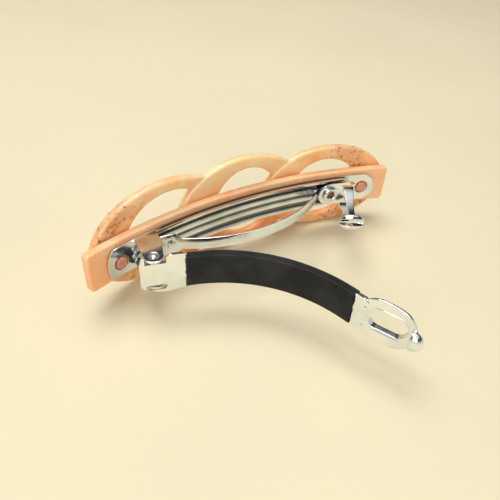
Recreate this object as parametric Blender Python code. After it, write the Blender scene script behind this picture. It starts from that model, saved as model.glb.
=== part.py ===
"""French-clip barrette: three linked acetate ovals on an acetate bar, with a sprung steel clasp, open.

Metres, +Z up. The barrette stands on its long lower edge. +X runs along it from the hinge to the
catch, and the hollow clasp side faces -Y. The origin is the middle of the middle oval's resting flat.
Places below are measured from the middle of the arch; the finished pieces are then moved together.
"""

import math

import bmesh
import bpy
from mathutils import Matrix, Vector

MM = 0.001

# The arch that every piece on the back follows, measured at the bar's clasp-side face
ARCH_RADIUS = 118.7 * MM
ARCH_STEP = 3.0 * MM
CENTRE_HEIGHT = 12.35 * MM

# Acetate ovals: place along the arch, half length, rise and drop from the bar's middle line;
# then the window in each
OVALS = ((-20.3, 19.2, 12.6, 12.5), (1.6, 17.8, 12.6, 12.5), (25.1, 17.3, 11.2, 12.5))
WINDOWS = ((-19.2, 11.3, 9.6, 9.4), (2.6, 8.8, 9.3, 9.9), (25.0, 9.0, 7.6, 9.6))
OVAL_BACK = 2.3 * MM
OVAL_FRONT = 4.6 * MM
OVAL_ROUNDING = 0.6 * MM
LAP_MARGIN = 0.04 * MM
LAP_GROOVE_WIDTH = 0.5 * MM
LAP_GROOVE_DEPTH = 0.4 * MM

# Acetate bar behind the clasp
BAR_HALF_LENGTH = 42.2 * MM
BAR_HALF_HEIGHT = 5.0 * MM
BAR_THICKNESS = 2.0 * MM
BAR_CORNER = 1.0 * MM

# Base plate, pressed from one steel sheet
SHEET = 0.5 * MM
SEAT_GAP = 0.3 * MM
CHANNEL_ENDS = (-31.0 * MM, 29.5 * MM)
CHANNEL_PROFILE = (
    (-3.6, 1.5), (-3.1, 1.5), (-2.75, 0.55), (-1.75, 0.55), (-1.45, 1.3), (-0.7, 1.3), (-0.4, 0.6),
    (0.4, 0.6), (0.7, 1.3), (1.45, 1.3), (1.75, 0.55), (2.75, 0.55), (3.1, 1.5), (3.6, 1.5),
)
TAB_HALF_HEIGHT = 3.9 * MM
TAB_ENDS = (-37.8 * MM, 38.6 * MM)
STAKE_SPOTS = {"left": (-34.4 * MM, -0.45 * MM), "right": (34.9 * MM, 0.0)}
STAKE_SHANK = 1.3 * MM
STAKE_HEAD = 1.45 * MM
STAKE_HOLE = 1.85 * MM

# Hinge, on an upright axis at the ears
HINGE_X = -28.5 * MM
HINGE_Y = -11.6 * MM
EAR_INNER = 3.3 * MM
EAR_THICKNESS = 0.6 * MM
EAR_TIP = 2.1 * MM
EAR_FOOT = (-30.6 * MM, -25.0 * MM)
PIN_RADIUS = 0.85 * MM
PIN_HOLE = 1.15 * MM

# Arm: a strip that runs straight, bends, turns back at the collar and runs straight through the loop
ARM_START = (-31.54 * MM, -12.32 * MM)
ARM_HEADING = math.radians(-14.2)
ARM_RUNS = ((9.3, 0.0), (38.1, -64.2), (3.0, 13.5), (12.0, 0.0))
ARM_THICKNESS = 0.7 * MM
LUG_INNER = 2.3 * MM
LUG_OUTER = 2.9 * MM
ARM_STRIP_HALF = 3.1 * MM
HINGE_PLATE_END = 9.3 * MM
LOOP_WINDOW = (50.7 * MM, 58.9 * MM)
LOOP_WINDOW_SPAN = (-2.5 * MM, 2.9 * MM)
LOOP_DISH = 1.5 * MM
THUMB_TIP = (60.4 * MM, 0.8 * MM)
THUMB_TIP_RADIUS = 2.3 * MM

# Sleeve over the arm
SLEEVE_ENDS = (9.65 * MM, 47.2 * MM)
SLEEVE_HALF_WIDTH = 4.65 * MM
SLEEVE_HALF_DEPTH = 1.2 * MM
SLEEVE_BORE_GAP = 0.35 * MM

# Tension bar: a thin bowed strip with a wide end plate between the ears
TENSION_RADIUS = 37.4 * MM
TENSION_TOP = (-1.0 * MM, -10.95 * MM)
TENSION_RIGHT = 20.3 * MM
TENSION_BEND = -20.3 * MM
TENSION_LEFT = -25.0 * MM
TENSION_HALF_WIDTH = 1.5 * MM
TENSION_PLATE_HALF = 2.9 * MM
TENSION_THICKNESS = 0.4 * MM

# Catch: a riveted foot, two prongs and a split oval head
FOOT_ENDS = (21.4 * MM, 31.4 * MM)
FOOT_HALF = 3.1 * MM
FOOT_LIFT = 1.85 * MM
EYELET_PLACE = 24.9 * MM
EYELET_HOLE = 1.1 * MM
EYELET_RIM = 2.3 * MM
PRONG_ROOT = (27.9 * MM, -7.1 * MM)
HEAD_CENTRE = (21.2 * MM, -17.6 * MM)
HEAD_HALF_LENGTH = 3.15 * MM
HEAD_HALF_HEIGHT = 2.2 * MM
HEAD_SPLIT = 0.45 * MM
PRONG_WIDTH = 2.2 * MM
PRONG_THICKNESS = 0.5 * MM


def clear_scene():
    """Take away whatever the file opened with."""
    for old in list(bpy.data.objects):
        bpy.data.objects.remove(old, do_unlink=True)


def material(name, colour, metallic, roughness):
    """One plain Principled material."""
    made = bpy.data.materials.new(name)
    made.use_nodes = True
    shader = made.node_tree.nodes["Principled BSDF"]
    shader.inputs["Base Color"].default_value = (*colour, 1.0)
    shader.inputs["Metallic"].default_value = metallic
    shader.inputs["Roughness"].default_value = roughness
    return made


def object_from(name, mesh_builder):
    """Turn a bmesh into a named object with outward faces."""
    bmesh.ops.recalc_face_normals(mesh_builder, faces=mesh_builder.faces)
    mesh = bpy.data.meshes.new(name)
    mesh_builder.to_mesh(mesh)
    mesh_builder.free()
    made = bpy.data.objects.new(name, mesh)
    bpy.context.scene.collection.objects.link(made)
    return made


def slab(name, outline, low, high, upright=False):
    """Prism over an outline: of (x, z) points through Y, or of (x, y) points through Z if upright."""
    building = bmesh.new()
    near, far = [], []
    for across, up in outline:
        near.append(building.verts.new((across, up, low) if upright else (across, low, up)))
        far.append(building.verts.new((across, up, high) if upright else (across, high, up)))
    building.faces.new(near)
    building.faces.new(list(reversed(far)))
    for index in range(len(near)):
        following = (index + 1) % len(near)
        building.faces.new((near[index], near[following], far[following], far[index]))
    return object_from(name, building)


def round_slab(name, centre, radii, low, high, upright=False, segments=40):
    """Elliptical prism."""
    outline = []
    for index in range(segments):
        turn = 2 * math.pi * (index + 0.5) / segments
        outline.append((centre[0] + radii[0] * math.cos(turn), centre[1] + radii[1] * math.sin(turn)))
    return slab(name, outline, low, high, upright)


def combine(target, tool, operation):
    """Add, cut or keep common material, then take the tool away."""
    modifier = target.modifiers.new(operation.lower(), "BOOLEAN")
    modifier.operation = operation
    modifier.solver = "EXACT"
    modifier.object = tool
    bpy.context.view_layer.update()
    graph = bpy.context.evaluated_depsgraph_get()
    result = bpy.data.meshes.new_from_object(target.evaluated_get(graph))
    target.modifiers.clear()
    target.data = result
    bpy.data.objects.remove(tool, do_unlink=True)
    return target


def tidy(target, merge=0.000005):
    """Merge doubled points and dissolve slivers left by cutting."""
    building = bmesh.new()
    building.from_mesh(target.data)
    bmesh.ops.remove_doubles(building, verts=building.verts, dist=merge)
    bmesh.ops.dissolve_degenerate(building, edges=building.edges, dist=merge)
    bmesh.ops.recalc_face_normals(building, faces=building.faces)
    building.to_mesh(target.data)
    building.free()
    return target


def slice_along_x(target, start, end, step):
    """Cut edges at even places along X so that the piece can follow a curve."""
    building = bmesh.new()
    building.from_mesh(target.data)
    place = start
    while place < end:
        geometry = building.verts[:] + building.edges[:] + building.faces[:]
        bmesh.ops.bisect_plane(building, geom=geometry, plane_co=(place, 0, 0), plane_no=(1, 0, 0))
        place += step
    bmesh.ops.triangulate(building, faces=[face for face in building.faces if len(face.verts) > 4])
    building.to_mesh(target.data)
    building.free()
    return target


def arch(target):
    """Wrap a flat piece, given as (along, outward, up), on to the barrette's arch."""
    slice_along_x(target, -42 * MM, 42 * MM, ARCH_STEP)
    for vertex in target.data.vertices:
        along, outward, up = vertex.co
        turn = along / ARCH_RADIUS
        reach = ARCH_RADIUS + outward
        vertex.co = (reach * math.sin(turn), reach * math.cos(turn) - ARCH_RADIUS, up + CENTRE_HEIGHT)
    return target


def arch_point(along, outward):
    """X and Y of a place on the arch."""
    turn = along / ARCH_RADIUS
    reach = ARCH_RADIUS + outward
    return Vector((reach * math.sin(turn), reach * math.cos(turn) - ARCH_RADIUS))


def arm_point(along, outward):
    """X and Y of a place on the arm, outward being away from the barrette."""
    spot = Vector(ARM_START)
    heading = ARM_HEADING
    left = along
    for length, turn in ARM_RUNS:
        run = min(left, length * MM) if (length, turn) != ARM_RUNS[-1] else left
        bend = math.radians(turn) * run / (length * MM)
        middle = heading + bend / 2
        chord = run if abs(bend) < 1e-9 else run * math.sin(bend / 2) / (bend / 2)
        spot += Vector((math.cos(middle), math.sin(middle))) * chord
        heading += bend
        left -= run
        if left <= 0:
            break
    return spot + Vector((math.sin(heading), -math.cos(heading))) * outward


def along_arm(target):
    """Wrap a flat piece, given as (along, outward, up), on to the arm's curve."""
    slice_along_x(target, 9.3 * MM, 51 * MM, 2.1 * MM)
    for vertex in target.data.vertices:
        spot = arm_point(vertex.co.x, vertex.co.y)
        vertex.co = (spot.x, spot.y, vertex.co.z + CENTRE_HEIGHT)
    return target


def lift(target):
    """Raise an upright piece to the clasp's middle height."""
    target.data.transform(Matrix.Translation((0, 0, CENTRE_HEIGHT)))
    return target


def soften(target, width, segments=2, angle=50):
    """Round the sharp edges."""
    modifier = target.modifiers.new("rounding", "BEVEL")
    modifier.width = width
    modifier.segments = segments
    modifier.limit_method = "ANGLE"
    modifier.angle_limit = math.radians(angle)
    modifier.use_clamp_overlap = True
    bpy.context.view_layer.update()
    graph = bpy.context.evaluated_depsgraph_get()
    result = bpy.data.meshes.new_from_object(target.evaluated_get(graph))
    target.modifiers.clear()
    target.data = result
    return target


def finish(target, name, surface, smooth=False):
    """Name the node, give it its material and its shading."""
    target.name = name
    target.data.name = name
    target.data.materials.clear()
    target.data.materials.append(surface)
    for face in target.data.polygons:
        face.use_smooth = smooth
    return target


def pivot_at(target, x, y, z):
    """Put the object's origin on a joint axis."""
    target.data.transform(Matrix.Translation((-x, -y, -z)))
    target.location = (x, y, z)
    return target


def lathe_oval(name, centre, radii, stations, segments=48):
    """Closed oval solid through Y from (y, growth) stations, growth being added to all radii."""
    building = bmesh.new()
    rings = []
    for height, growth in stations:
        ring = []
        for index in range(segments):
            turn = 2 * math.pi * (index + 0.5) / segments
            across = centre + (radii[0] + growth) * math.cos(turn)
            reach = radii[1] if math.sin(turn) > 0 else radii[2]
            ring.append(building.verts.new((across, height, (reach + growth) * math.sin(turn))))
        rings.append(ring)
    building.faces.new(rings[0])
    building.faces.new(list(reversed(rings[-1])))
    for near, far in zip(rings, rings[1:]):
        for index in range(segments):
            following = (index + 1) % segments
            building.faces.new((near[index], near[following], far[following], far[index]))
    return object_from(name, building)


def link(name, index, low, high, grow=0.0, edge=OVAL_ROUNDING):
    """One oval link, its outer edges eased."""
    centre, *radii = (value * MM for value in OVALS[index])
    stations = [(low, grow - edge), (low + edge, grow), (high - edge, grow), (high, grow - edge)]
    if edge == 0.0:
        stations = [(low, grow), (high, grow)]
    return lathe_oval(name, centre, radii, stations)


def opening(name, index):
    """Cutter for the window of one link, flared so that the window's edges are eased."""
    centre, *radii = (value * MM for value in WINDOWS[index])
    edge = OVAL_ROUNDING
    stations = [(OVAL_BACK - edge, 2 * edge), (OVAL_BACK + edge, 0.0), (OVAL_FRONT - edge, 0.0),
                (OVAL_FRONT + edge, 2 * edge)]
    return lathe_oval(name, centre, radii, stations)


def lap_groove(index, low, high):
    """Cutter for the groove where one link's rounded end lies over the link before it."""
    groove = link("groove", index, low, high, LAP_GROOVE_WIDTH / 2, 0.0)
    combine(groove, link("core", index, low - 1 * MM, high + 1 * MM, -LAP_GROOVE_WIDTH / 2, 0.0),
            "DIFFERENCE")
    centre = OVALS[index][0] * MM
    outline = [(centre - 30 * MM, -20 * MM), (centre - 11 * MM, -20 * MM), (centre - 11 * MM, 20 * MM),
               (centre - 30 * MM, 20 * MM)]
    return combine(groove, slab("reach", outline, low - 2 * MM, high + 2 * MM), "INTERSECT")


def ring_plate(surface):
    """The three linked ovals, sawn from one sheet, with a groove where one lies over the next."""
    plate = link("plate", 0, OVAL_BACK, OVAL_FRONT)
    for index in (1, 2):
        combine(plate, link("link", index, OVAL_BACK, OVAL_FRONT), "UNION")
    foot = slab("foot", [(-50 * MM, -20 * MM), (50 * MM, -20 * MM), (50 * MM, -CENTRE_HEIGHT),
                         (-50 * MM, -CENTRE_HEIGHT)], 0.0, 10 * MM)
    combine(plate, foot, "DIFFERENCE")
    for index in (0, 1, 2):
        window = opening("window", index)
        if index < 2:
            next_link = link("next", index + 1, OVAL_BACK, OVAL_FRONT, LAP_MARGIN)
            combine(window, next_link, "DIFFERENCE")
        combine(plate, window, "DIFFERENCE")
    for index in (1, 2):
        combine(plate, lap_groove(index, OVAL_BACK - 1 * MM, OVAL_BACK + LAP_GROOVE_DEPTH), "DIFFERENCE")
        combine(plate, lap_groove(index, OVAL_FRONT - LAP_GROOVE_DEPTH, OVAL_FRONT + 1 * MM), "DIFFERENCE")
    tidy(plate)
    return finish(arch(plate), "ring_plate", surface)


def back_bar(surface):
    """The straight-edged acetate bar, with a blind hole for each stake."""
    outline = []
    for right, up in ((1, -1), (1, 1), (-1, 1), (-1, -1)):
        for step in range(4):
            turn = math.atan2(up, right) + math.radians(-45 + 30 * step)
            outline.append((right * (BAR_HALF_LENGTH - BAR_CORNER) + BAR_CORNER * math.cos(turn),
                            up * (BAR_HALF_HEIGHT - BAR_CORNER) + BAR_CORNER * math.sin(turn)))
    bar = slab("bar", outline, 0.0, BAR_THICKNESS)
    soften(bar, 0.35 * MM, segments=2)
    for spot in STAKE_SPOTS.values():
        hole = round_slab("hole", spot, (STAKE_HOLE, STAKE_HOLE), -1 * MM, 1.3 * MM, segments=24)
        combine(bar, hole, "DIFFERENCE")
    tidy(bar)
    return finish(arch(bar), "back_bar", surface)


def turned(name, profile, segments=24):
    """Solid of revolution about Y from (radius, y) points, closed on the axis at both ends."""
    building = bmesh.new()
    rings = []
    for radius, height in profile:
        if radius < 1e-7:
            rings.append([building.verts.new((0, height, 0))])
            continue
        ring = []
        for index in range(segments):
            turn = 2 * math.pi * index / segments
            ring.append(building.verts.new((radius * math.cos(turn), height, radius * math.sin(turn))))
        rings.append(ring)
    for lower, upper in zip(rings, rings[1:]):
        for index in range(segments):
            following = (index + 1) % segments
            corners = [lower[index % len(lower)], lower[following % len(lower)],
                       upper[following % len(upper)], upper[index % len(upper)]]
            building.faces.new(list(dict.fromkeys(corners)))
    return object_from(name, building)


def stake(name, spot, surface):
    """Acetate stud in the hole of the base plate's tab, swollen on the clasp side."""
    profile = ((0, 1.0 * MM), (STAKE_SHANK, 1.0 * MM), (STAKE_SHANK, -0.5 * MM), (STAKE_HEAD, -0.7 * MM),
               (STAKE_HEAD, -0.95 * MM), (STAKE_HEAD * 0.85, -1.15 * MM), (STAKE_HEAD * 0.4, -1.25 * MM),
               (0, -1.2 * MM))
    stud = turned(name, profile)
    place, level = spot
    foot = arch_point(place, 0.0)
    stud.data.transform(Matrix.Translation((foot.x, foot.y, CENTRE_HEIGHT + level))
                        @ Matrix.Rotation(-place / ARCH_RADIUS, 4, "Z"))
    return finish(stud, name, surface)


def tab(name, end, inner, rounding):
    """Flat end of the base plate; rounding gives the cut of its lower and upper corner."""
    side = 1 if end > 0 else -1
    half = TAB_HALF_HEIGHT
    lower, upper = rounding
    outline = [(inner, -half), (end - side * lower, -half), (end - side * lower * 0.3, -half * 0.75),
               (end, -half * 0.4), (end, half * 0.2), (end - side * upper * 0.3, half * 0.62),
               (end - side * upper, half), (inner, half)]
    return slab(name, outline, -SEAT_GAP - SHEET, -SEAT_GAP)


def base_plate(surface):
    """Ribbed channel, two tabs and two upright hinge ears, all one pressing."""
    low, high = CHANNEL_ENDS
    upper = [(-SEAT_GAP - height * MM, width * MM) for width, height in CHANNEL_PROFILE]
    under = []
    for width, height in reversed(CHANNEL_PROFILE):
        under.append((-max(SEAT_GAP, SEAT_GAP + height * MM - SHEET), width * MM * 0.999))
    under[0] = (-SEAT_GAP, upper[-1][1])
    under[-1] = (-SEAT_GAP, upper[0][1])
    under.insert(1, (-SEAT_GAP, 3.12 * MM))
    under.insert(-1, (-SEAT_GAP, -3.12 * MM))
    building = bmesh.new()
    loop = upper + under
    first = [building.verts.new((low, y, z)) for y, z in loop]
    last = [building.verts.new((high, y, z)) for y, z in loop]
    building.faces.new(first)
    building.faces.new(list(reversed(last)))
    for index in range(len(loop)):
        following = (index + 1) % len(loop)
        building.faces.new((first[index], first[following], last[following], last[index]))
    plate = object_from("plate", building)
    combine(plate, tab("tab", TAB_ENDS[0], low + 1.2 * MM, (0.7 * MM, 1.8 * MM)), "UNION")
    combine(plate, tab("tab", TAB_ENDS[1], high - 1.2 * MM, (3.0 * MM, 3.0 * MM)), "UNION")
    for spot in STAKE_SPOTS.values():
        hole = round_slab("hole", spot, (STAKE_HOLE, STAKE_HOLE), -3 * MM, 1 * MM, segments=24)
        combine(plate, hole, "DIFFERENCE")
    hole = round_slab("hole", (EYELET_PLACE, 0.0), (1.75 * MM, 1.75 * MM), -5 * MM, 1 * MM, segments=24)
    combine(plate, hole, "DIFFERENCE")
    arch(tidy(plate))
    for side in (-1, 1):
        inner = side * EAR_INNER
        outer = side * (EAR_INNER + EAR_THICKNESS)
        combine(plate, lift(ear("ear", min(inner, outer), max(inner, outer))), "UNION")
    tidy(plate)
    return finish(plate, "base_plate", surface)


def ear(name, low, high):
    """Hinge ear: a blade rising from the plate's edge to a round tip on the hinge axis."""
    left = arch_point(EAR_FOOT[0], -SEAT_GAP - 0.1 * MM)
    right = arch_point(EAR_FOOT[1], -SEAT_GAP - 0.1 * MM)
    outline = [(left.x, left.y), (left.x - 0.1 * MM, left.y - 2.2 * MM)]
    for step in range(13):
        turn = math.radians(170 + 15 * step)
        outline.append((HINGE_X + EAR_TIP * math.cos(turn), HINGE_Y + EAR_TIP * math.sin(turn)))
    outline += [(right.x - 0.1 * MM, right.y - 4.4 * MM), (right.x, right.y)]
    blade = slab(name, outline, low, high, upright=True)
    hole = round_slab("hole", (HINGE_X, HINGE_Y), (PIN_HOLE, PIN_HOLE), low - 1 * MM, high + 1 * MM,
                      upright=True, segments=20)
    return combine(blade, hole, "DIFFERENCE")


def hinge_nib(name, side, surface):
    """Round nib that pins one lug of the arm in its ear, domed where it shows outside the ear."""
    profile = ((0, 2.0 * MM), (PIN_RADIUS, 2.0 * MM), (PIN_RADIUS, 3.85 * MM), (PIN_RADIUS * 0.8, 4.05 * MM),
               (PIN_RADIUS * 0.45, 4.15 * MM), (0, 4.2 * MM))
    nib = turned(name, profile, segments=20)
    nib.data.transform(Matrix.Rotation(math.radians(90 * side), 4, "X"))
    nib.data.transform(Matrix.Translation((HINGE_X, HINGE_Y, CENTRE_HEIGHT)))
    finish(nib, name, surface)
    return pivot_at(nib, HINGE_X, HINGE_Y, CENTRE_HEIGHT)


def loop_outline(inset=0.0):
    """Outline of the thumb loop, seen square on."""
    stations = ((49.0, 3.6), (50.2, 4.6), (51.5, 5.3), (53.0, 5.6), (56.0, 5.45), (57.6, 5.1), (59.0, 4.4),
                (60.0, 3.1), (60.9, 1.6))
    upper = []
    for along, half in stations:
        pull = inset if along > 58.5 else -inset if along < 50.5 else 0.0
        upper.append((along * MM - pull, half * MM - inset))
    return upper + [(along, -half) for along, half in reversed(upper)]


def window_outline(grow=0.0):
    """Outline of the loop's window with its corners cut, seen square on."""
    first, last = LOOP_WINDOW[0] - grow, LOOP_WINDOW[1] + grow
    low, high = LOOP_WINDOW_SPAN[0] - grow, LOOP_WINDOW_SPAN[1] + grow
    cut = 1.3 * MM
    return [(first, low + cut), (first + cut, low), (last - cut, low), (last, low + cut),
            (last, high - cut), (last - cut, high), (first + cut, high), (first, high - cut)]


def arm(surface):
    """The lever: hinge plate with lugs, strip, collar, dished thumb loop and tip, all one pressing."""
    half = ARM_THICKNESS / 2
    end = HINGE_PLATE_END
    strip = ARM_STRIP_HALF
    outline = [(-0.6 * MM, -LUG_OUTER), (0.4 * MM, -4.0 * MM), (3.0 * MM, -4.9 * MM), (5.2 * MM, -5.2 * MM),
               (7.0 * MM, -4.9 * MM), (end, -4.6 * MM), (end, -strip), (47.5 * MM, -strip),
               (47.5 * MM, -4.2 * MM), (49.6 * MM, -4.2 * MM), (49.6 * MM, 4.2 * MM), (47.5 * MM, 4.2 * MM),
               (47.5 * MM, strip), (end, strip), (end, 4.7 * MM), (8.2 * MM, 4.9 * MM), (6.2 * MM, 4.9 * MM),
               (5.1 * MM, 4.6 * MM), (5.1 * MM, LUG_OUTER), (0.55 * MM, LUG_OUTER), (0.55 * MM, 5.0 * MM),
               (0.0, 5.1 * MM), (-0.6 * MM, LUG_OUTER)]
    lever = slab("lever", outline, -half, half)
    cut_out = slab("cut", [(0.5 * MM, -4.25 * MM), (5.0 * MM, -4.25 * MM), (5.0 * MM, -LUG_OUTER),
                           (0.5 * MM, -LUG_OUTER)], -2 * MM, 2 * MM)
    combine(lever, cut_out, "DIFFERENCE")
    combine(lever, slab("loop", loop_outline(), -half, half), "UNION")
    dish = slab("dish", window_outline(0.7 * MM), -LOOP_DISH, 0.0)
    combine(lever, dish, "UNION")
    combine(lever, slab("window", window_outline(), -3 * MM, 3 * MM), "DIFFERENCE")
    tip = turned("tip", ((0, -1.4 * MM), (THUMB_TIP_RADIUS * 0.7, -1.3 * MM), (THUMB_TIP_RADIUS, -0.7 * MM),
                         (THUMB_TIP_RADIUS, 0.6 * MM), (THUMB_TIP_RADIUS * 0.8, 1.2 * MM),
                         (THUMB_TIP_RADIUS * 0.4, 1.6 * MM), (0, 1.7 * MM)), segments=24)
    tip.data.transform(Matrix.Translation((THUMB_TIP[0], THUMB_TIP[1], -0.3 * MM)))
    guard = slab("guard", [(40 * MM, -8 * MM), (LOOP_WINDOW[1] + 1.05 * MM, -8 * MM),
                           (LOOP_WINDOW[1] + 1.05 * MM, 8 * MM), (40 * MM, 8 * MM)], -5 * MM, 5 * MM)
    combine(tip, guard, "DIFFERENCE")
    combine(lever, tip, "UNION")
    along_arm(tidy(lever))
    for side in (-1, 1):
        combine(lever, lift(lug("lug", side)), "UNION")
    tidy(lever)
    finish(lever, "arm", surface)
    return pivot_at(lever, HINGE_X, HINGE_Y, CENTRE_HEIGHT)


def lug(name, side):
    """Flange of the arm that stands inside one ear, rounded about the hinge axis."""
    low, high = sorted((side * LUG_INNER, side * LUG_OUTER))
    outline = [arm_point(1.1 * MM, 0.1 * MM)]
    for step in range(11):
        turn = math.radians(195 - 21 * step)
        outline.append(Vector((HINGE_X, HINGE_Y)) + 1.85 * MM * Vector((math.cos(turn), math.sin(turn))))
    outline.append(arm_point(5.0 * MM, 0.1 * MM))
    blade = slab(name, [tuple(point) for point in outline], low, high, upright=True)
    hole = round_slab("hole", (HINGE_X, HINGE_Y), (PIN_HOLE, PIN_HOLE), low - 1 * MM, high + 1 * MM,
                      upright=True, segments=20)
    return combine(blade, hole, "DIFFERENCE")


def flat_tube_ring(half_width, half_depth, points=24):
    """Rounded flat cross-section as (outward, up) points."""
    ring = []
    for index in range(points):
        turn = 2 * math.pi * (index + 0.5) / points
        across = math.copysign(abs(math.cos(turn)) ** 0.55, math.cos(turn))
        up = math.copysign(abs(math.sin(turn)) ** 0.35, math.sin(turn))
        ring.append((half_depth * across, half_width * up))
    return ring


def arm_sleeve(surface):
    """Black grip sleeve drawn over the strip of the arm."""
    outer = flat_tube_ring(SLEEVE_HALF_WIDTH, SLEEVE_HALF_DEPTH)
    inner = flat_tube_ring(ARM_STRIP_HALF + SLEEVE_BORE_GAP + 0.1 * MM,
                           ARM_THICKNESS / 2 + SLEEVE_BORE_GAP)
    building = bmesh.new()
    stations = 20
    first, last = SLEEVE_ENDS
    skins = []
    for ring in (outer, inner):
        skin = []
        for step in range(stations):
            along = first + (last - first) * step / (stations - 1)
            spots = []
            for outward, up in ring:
                spot = arm_point(along, outward)
                spots.append(building.verts.new((spot.x, spot.y, up + CENTRE_HEIGHT)))
            skin.append(spots)
        skins.append(skin)
    count = len(outer)
    for skin in skins:
        for near, far in zip(skin, skin[1:]):
            for index in range(count):
                following = (index + 1) % count
                building.faces.new((near[index], near[following], far[following], far[index]))
    for end in (0, -1):
        for index in range(count):
            following = (index + 1) % count
            building.faces.new((skins[0][end][index], skins[0][end][following],
                                skins[1][end][following], skins[1][end][index]))
    sleeve = object_from("sleeve", building)
    finish(sleeve, "arm_sleeve", surface)
    return pivot_at(sleeve, HINGE_X, HINGE_Y, CENTRE_HEIGHT)


def tension_point(x):
    """Y of the tension bar's middle line at a place along X."""
    reach = max(x, TENSION_BEND) - TENSION_TOP[0]
    y = TENSION_TOP[1] + TENSION_RADIUS - math.sqrt(TENSION_RADIUS ** 2 - reach ** 2)
    if x < TENSION_BEND:
        y += (TENSION_BEND - x) * 0.1
    return y


def tension_bar(surface):
    """Bowed spring strip with its wide end plate between the ears and its far end by the catch."""
    stations = [(TENSION_LEFT, TENSION_PLATE_HALF * 0.8), (TENSION_LEFT + 0.6 * MM, TENSION_PLATE_HALF),
                (TENSION_BEND - 0.6 * MM, TENSION_PLATE_HALF), (TENSION_BEND, TENSION_PLATE_HALF * 0.75),
                (TENSION_BEND + 0.9 * MM, TENSION_HALF_WIDTH)]
    count = 20
    for step in range(1, count + 1):
        place = TENSION_BEND + 0.9 * MM + (TENSION_RIGHT - TENSION_BEND - 0.9 * MM) * step / count
        stations.append((place, TENSION_HALF_WIDTH * (1.0 if step < count else 0.6)))
    building = bmesh.new()
    rings = []
    for x, half in stations:
        ahead = tension_point(x + 0.05 * MM)
        behind = tension_point(x - 0.05 * MM)
        slope = Vector((0.1 * MM, ahead - behind)).normalized()
        normal = Vector((slope.y, -slope.x)) * TENSION_THICKNESS / 2
        middle = Vector((x, tension_point(x)))
        ring = []
        for side, up in ((1, -1), (1, 1), (-1, 1), (-1, -1)):
            spot = middle + normal * side
            ring.append(building.verts.new((spot.x, spot.y, up * half + CENTRE_HEIGHT)))
        rings.append(ring)
    building.faces.new(rings[0])
    building.faces.new(list(reversed(rings[-1])))
    for near, far in zip(rings, rings[1:]):
        for index in range(4):
            following = (index + 1) % 4
            building.faces.new((near[index], near[following], far[following], far[index]))
    strip = object_from("strip", building)
    return finish(strip, "tension_bar", surface)


def catch_foot(surface):
    """Plate riveted on the channel, with a tented end where the prongs stand."""
    low, high = FOOT_ENDS
    half = FOOT_HALF
    top = -FOOT_LIFT - SEAT_GAP
    outline = [(low + 1.6 * MM, -half), (high, -half), (high, half), (low + 1.6 * MM, half),
               (low + 0.4 * MM, half * 0.66), (low, half * 0.3), (low, -half * 0.3),
               (low + 0.4 * MM, -half * 0.66)]
    plate = slab("plate", outline, top - SHEET, top)
    for side in (-1, 1):
        post = slab("post", [(30.1 * MM, side * half), (high, side * half),
                             (high, side * (half - SHEET)), (30.1 * MM, side * (half - SHEET))],
                    top - 1.7 * MM, top - SHEET * 0.5)
        combine(plate, post, "UNION")
    hole = round_slab("hole", (EYELET_PLACE, 0.0), (1.75 * MM, 1.75 * MM), -6 * MM, 1 * MM, segments=24)
    combine(plate, hole, "DIFFERENCE")
    return finish(arch(tidy(plate)), "catch_foot", surface)


def catch_eyelet(surface):
    """Hollow rivet that holds the catch's foot to the base plate."""
    lift_off = FOOT_LIFT + SEAT_GAP + SHEET
    profile = ((EYELET_HOLE, -0.35 * MM), (1.45 * MM, -0.35 * MM), (1.45 * MM, -lift_off - 0.3 * MM),
               (EYELET_RIM, -lift_off - 0.3 * MM), (EYELET_RIM, -lift_off - 0.55 * MM),
               (EYELET_RIM * 0.8, -lift_off - 0.85 * MM), (EYELET_HOLE, -lift_off - 0.6 * MM),
               (EYELET_HOLE, -0.35 * MM))
    building = bmesh.new()
    rings = []
    for radius, height in profile[:-1]:
        ring = []
        for index in range(24):
            turn = 2 * math.pi * index / 24
            ring.append(building.verts.new((radius * math.cos(turn), height, radius * math.sin(turn))))
        rings.append(ring)
    for near, far in zip(rings, rings[1:] + rings[:1]):
        for index in range(24):
            following = (index + 1) % 24
            building.faces.new((near[index], near[following], far[following], far[index]))
    ring = object_from("eyelet", building)
    spot = arch_point(EYELET_PLACE, 0.0)
    turn = EYELET_PLACE / ARCH_RADIUS
    ring.data.transform(Matrix.Translation((spot.x, spot.y, CENTRE_HEIGHT)) @ Matrix.Rotation(-turn, 4, "Z"))
    return finish(ring, "catch_eyelet", surface)


def prong_frame():
    """Directions of the catch: along its prongs to the head, and across them, both level."""
    along = (Vector(HEAD_CENTRE) - Vector(PRONG_ROOT)).normalized()
    return along, Vector((-along.y, along.x))


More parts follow.
